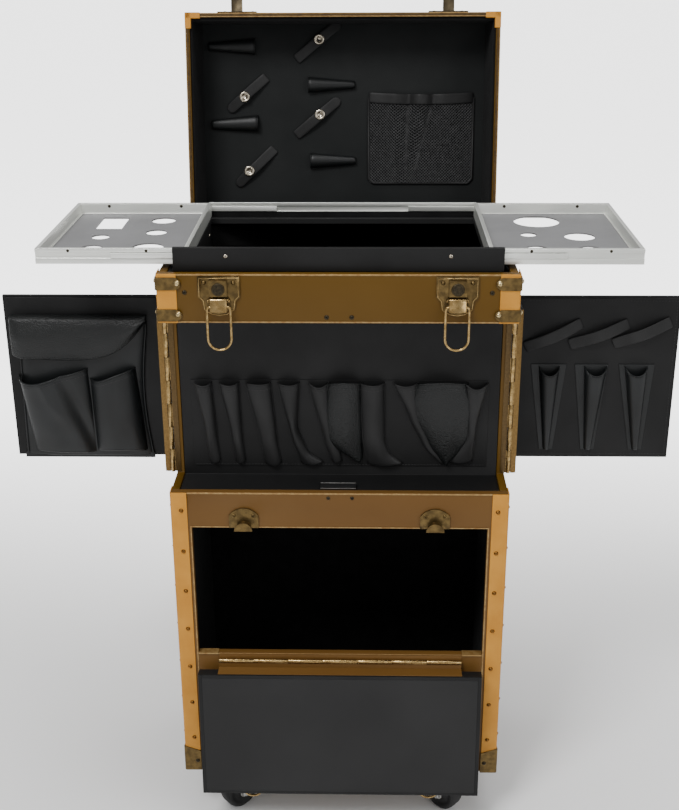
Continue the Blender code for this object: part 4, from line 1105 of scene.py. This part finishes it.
def makeNetPocket():
    def shape(x, s):
        u = (x - netPocket["left"]) / (netPocket["right"] - netPocket["left"])
        v = (s - netPocket["foot"]) / (netPocket["mouth"] - netPocket["foot"])
        u, v = min(max(u, 0), 1), min(max(v, 0), 1)
        swell = 7.0 * math.sin(math.pi * u) ** 0.6 * (0.25 + 0.75 * v)
        folds = [(0.24 + 0.08 * (1 - v), 0.06, 4.5), (0.38 - 0.02 * (1 - v), 0.05, -4.0), (0.5 - 0.13 * (1 - v), 0.06, 5.5), (0.62 - 0.22 * (1 - v), 0.05, -3.5)]
        fold, shift = 0.0, 0.0
        for middle, spread, height in folds:
            off = (u - middle) / spread
            bell = math.exp(-off * off)
            fold += height * bell
            shift += math.copysign(2.6, height) * off * bell
        wave = noise.noise(Vector((x * 0.05, s * 0.03, 3.0))) * 1.6
        inside = math.sin(math.pi * u)
        return lidBoardAt(x + shift * inside, 0.8 + swell + (fold + wave) * inside * (0.35 + 0.65 * v), s)
    cell = netPocket["cell"]
    bm = bmesh.new()
    known = {}

    def corner(i, j):
        # a diamond lattice: i + j is always even
        key = (i, j)
        if key not in known:
            known[key] = bm.verts.new(shape(netPocket["left"] + i * cell / 2, netPocket["foot"] + j * cell / 2))
        return known[key]
    wide = int((netPocket["right"] - netPocket["left"]) / (cell / 2))
    tall = int((netPocket["mouth"] - netPocket["foot"]) / (cell / 2))
    for j in range(0, tall - 1):
        for i in range(1, wide):
            if (i + j) % 2 and 0 <= i - 1 and i + 1 <= wide:
                bm.faces.new((corner(i, j), corner(i + 1, j + 1), corner(i, j + 2), corner(i - 1, j + 1)))
    mesh = bpy.data.meshes.new("netPocket")
    bm.to_mesh(mesh)
    bm.free()
    mesh.materials.append(finishes["mesh"])
    net = bpy.data.objects.new("netPocket", mesh)
    bpy.context.collection.objects.link(net)
    wires = net.modifiers.new("netThreads", "WIREFRAME")
    wires.thickness = 0.8 * mm
    wires.use_boundary = True
    finishPiece(net, "lid", "black_soft")
    x0, x1, s0, s1 = netPocket["left"] - 1, netPocket["right"] + 1, netPocket["foot"] - 1, netPocket["mouth"]

    def hem(u, v):
        point = shape(x0 + (x1 - x0) * u, s1 - 2)
        away = lidBoardAt(0, 1, 0) - lidBoardAt(0, 0, 0)
        upAlong = lidBoardAt(0, 0, 1) - lidBoardAt(0, 0, 0)
        return point + away * 0.8 + upAlong * (-6 + 12 * v + 2.2 * (2 * u - 1) ** 2)
    patch("netHem", hem, 30, 4, 1.4, "webbing", "lid", "black_soft")
    edge = [lidBoardAt(x, 1.0, s) for x, s in ((x0, s1), (x0, s0 + 5), (x0 + 5, s0), (x1 - 5, s0), (x1, s0 + 5), (x1, s1))]
    tubes("netBinding", [edge], 1.3, "webbing", "lid", "black_soft")


makeNetPocket()
print("lid furnished")


# trays

def dressTrays():
    for label, side in (("left", -1), ("right", 1)):
        body = f"tray_{label}"
        frontScrews = [(caseAt(side * x, 17.62, 588.95), front, right) for x in (183, 258)]
        backScrews = [(caseAt(side * x, 206.5, 588.2), front, right) for x in (176, 255)]
        screws(f"trayScrews_{label}", frontScrews + backScrews, 0.62, "screw", body, "aluminium")
        x0, x1 = sorted((side * 147.8, side * 285.7))
        gasket = [
            (x0 - 0.3, x1 + 0.3, 22.1, 24.0, 580.1, 580.7), (x0 - 0.3, x1 + 0.3, 204.6, 206.4, 580.1, 580.7),
            (x0 - 0.2, x0 + 1.6, 24.0, 204.6, 580.1, 580.7), (x1 - 1.6, x1 + 0.2, 24.0, 204.6, 580.1, 580.7),
        ]
        slabs(f"trayGasket_{label}", caseAt, gasket, "aluminium", body, "aluminium", 0.2)


dressTrays()


# casters

casterSpots = {"front_left": (-106, 30, 221), "front_right": (106, 30, 319), "back_left": (-106, 188.5, 140), "back_right": (106, 188.5, 60)}
casterSizes = {"radius": 21.0, "half": 9.0, "hubZ": -42.0, "trail": 14.0}


def dressCasters():
    for name, (x, y, heading) in casterSpots.items():
        low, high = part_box(f"caster_wheel_{name}")
        turn = math.radians(heading)
        along = Vector((math.cos(turn), math.sin(turn), 0))
        axle = Vector((-math.sin(turn), math.cos(turn), 0))
        hub = caseAt(x + casterSizes["trail"] * math.cos(turn), y + casterSizes["trail"] * math.sin(turn), 0)
        hub.z = (low[2] + high[2]) / 2
        radius = (high[2] - low[2]) / 2 / mm
        bm = bmesh.new()
        tread = [(3.2, -8.6), (6.5, -8.8), (7.5, -6.8), (14.5, -6.8), (15.5, -8.9), (19, -9), (radius - 0.6, -7.8), (radius, -5), (radius, 5), (radius - 0.6, 7.8), (19, 9), (15.5, 8.9), (14.5, 6.8), (7.5, 6.8), (6.5, 8.8), (3.2, 8.6)]
        addLathe(bm, hub, axle, tread, 40)
        wheel = pieceFrom(f"wheelTyre_{name}", bm, "rubber", f"wheel_{name}", "wheel_rubber", smooth=True)
        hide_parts(f"caster_wheel_{name}")
        bm = bmesh.new()
        for way in (-1, 1):
            addLathe(bm, hub + axle * way * 12.0 * mm, axle * way, [(0, 0), (4.6, 0), (4.6, 2.4), (3.6, 3.2), (0, 3.3)], 6)
        rounded(pieceFrom(f"axleNuts_{name}", bm, "steel", f"caster_{name}", "steel"), 0.3)
        if name.startswith("front"):
            bm = bmesh.new()
            pivot = caseAt(x, y, -14)
            place = lambda a, b, c, along=along, axle=axle, pivot=pivot: pivot + along * a * mm + axle * b * mm + upward * c * mm
            outline = [(4, 3), (22, 2), (37, -3), (42, -7), (41, -9.5), (34, -7), (20, -2.5), (6, -2)]
            addPrism(bm, place, outline, -9.5, 9.5)
            rounded(pieceFrom(f"brakePedal_{name}", bm, "plastic", f"caster_{name}", "wheel_rubber"), 1.0)


dressCasters()
print("trays and casters dressed")

for piece in patterns:
    bpy.data.objects.remove(piece, do_unlink=True)

sizes = {"cad": cadBounds, "visual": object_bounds()}
{key: [[float(c) for c in corner] for corner in box] for key, box in sizes.items()}
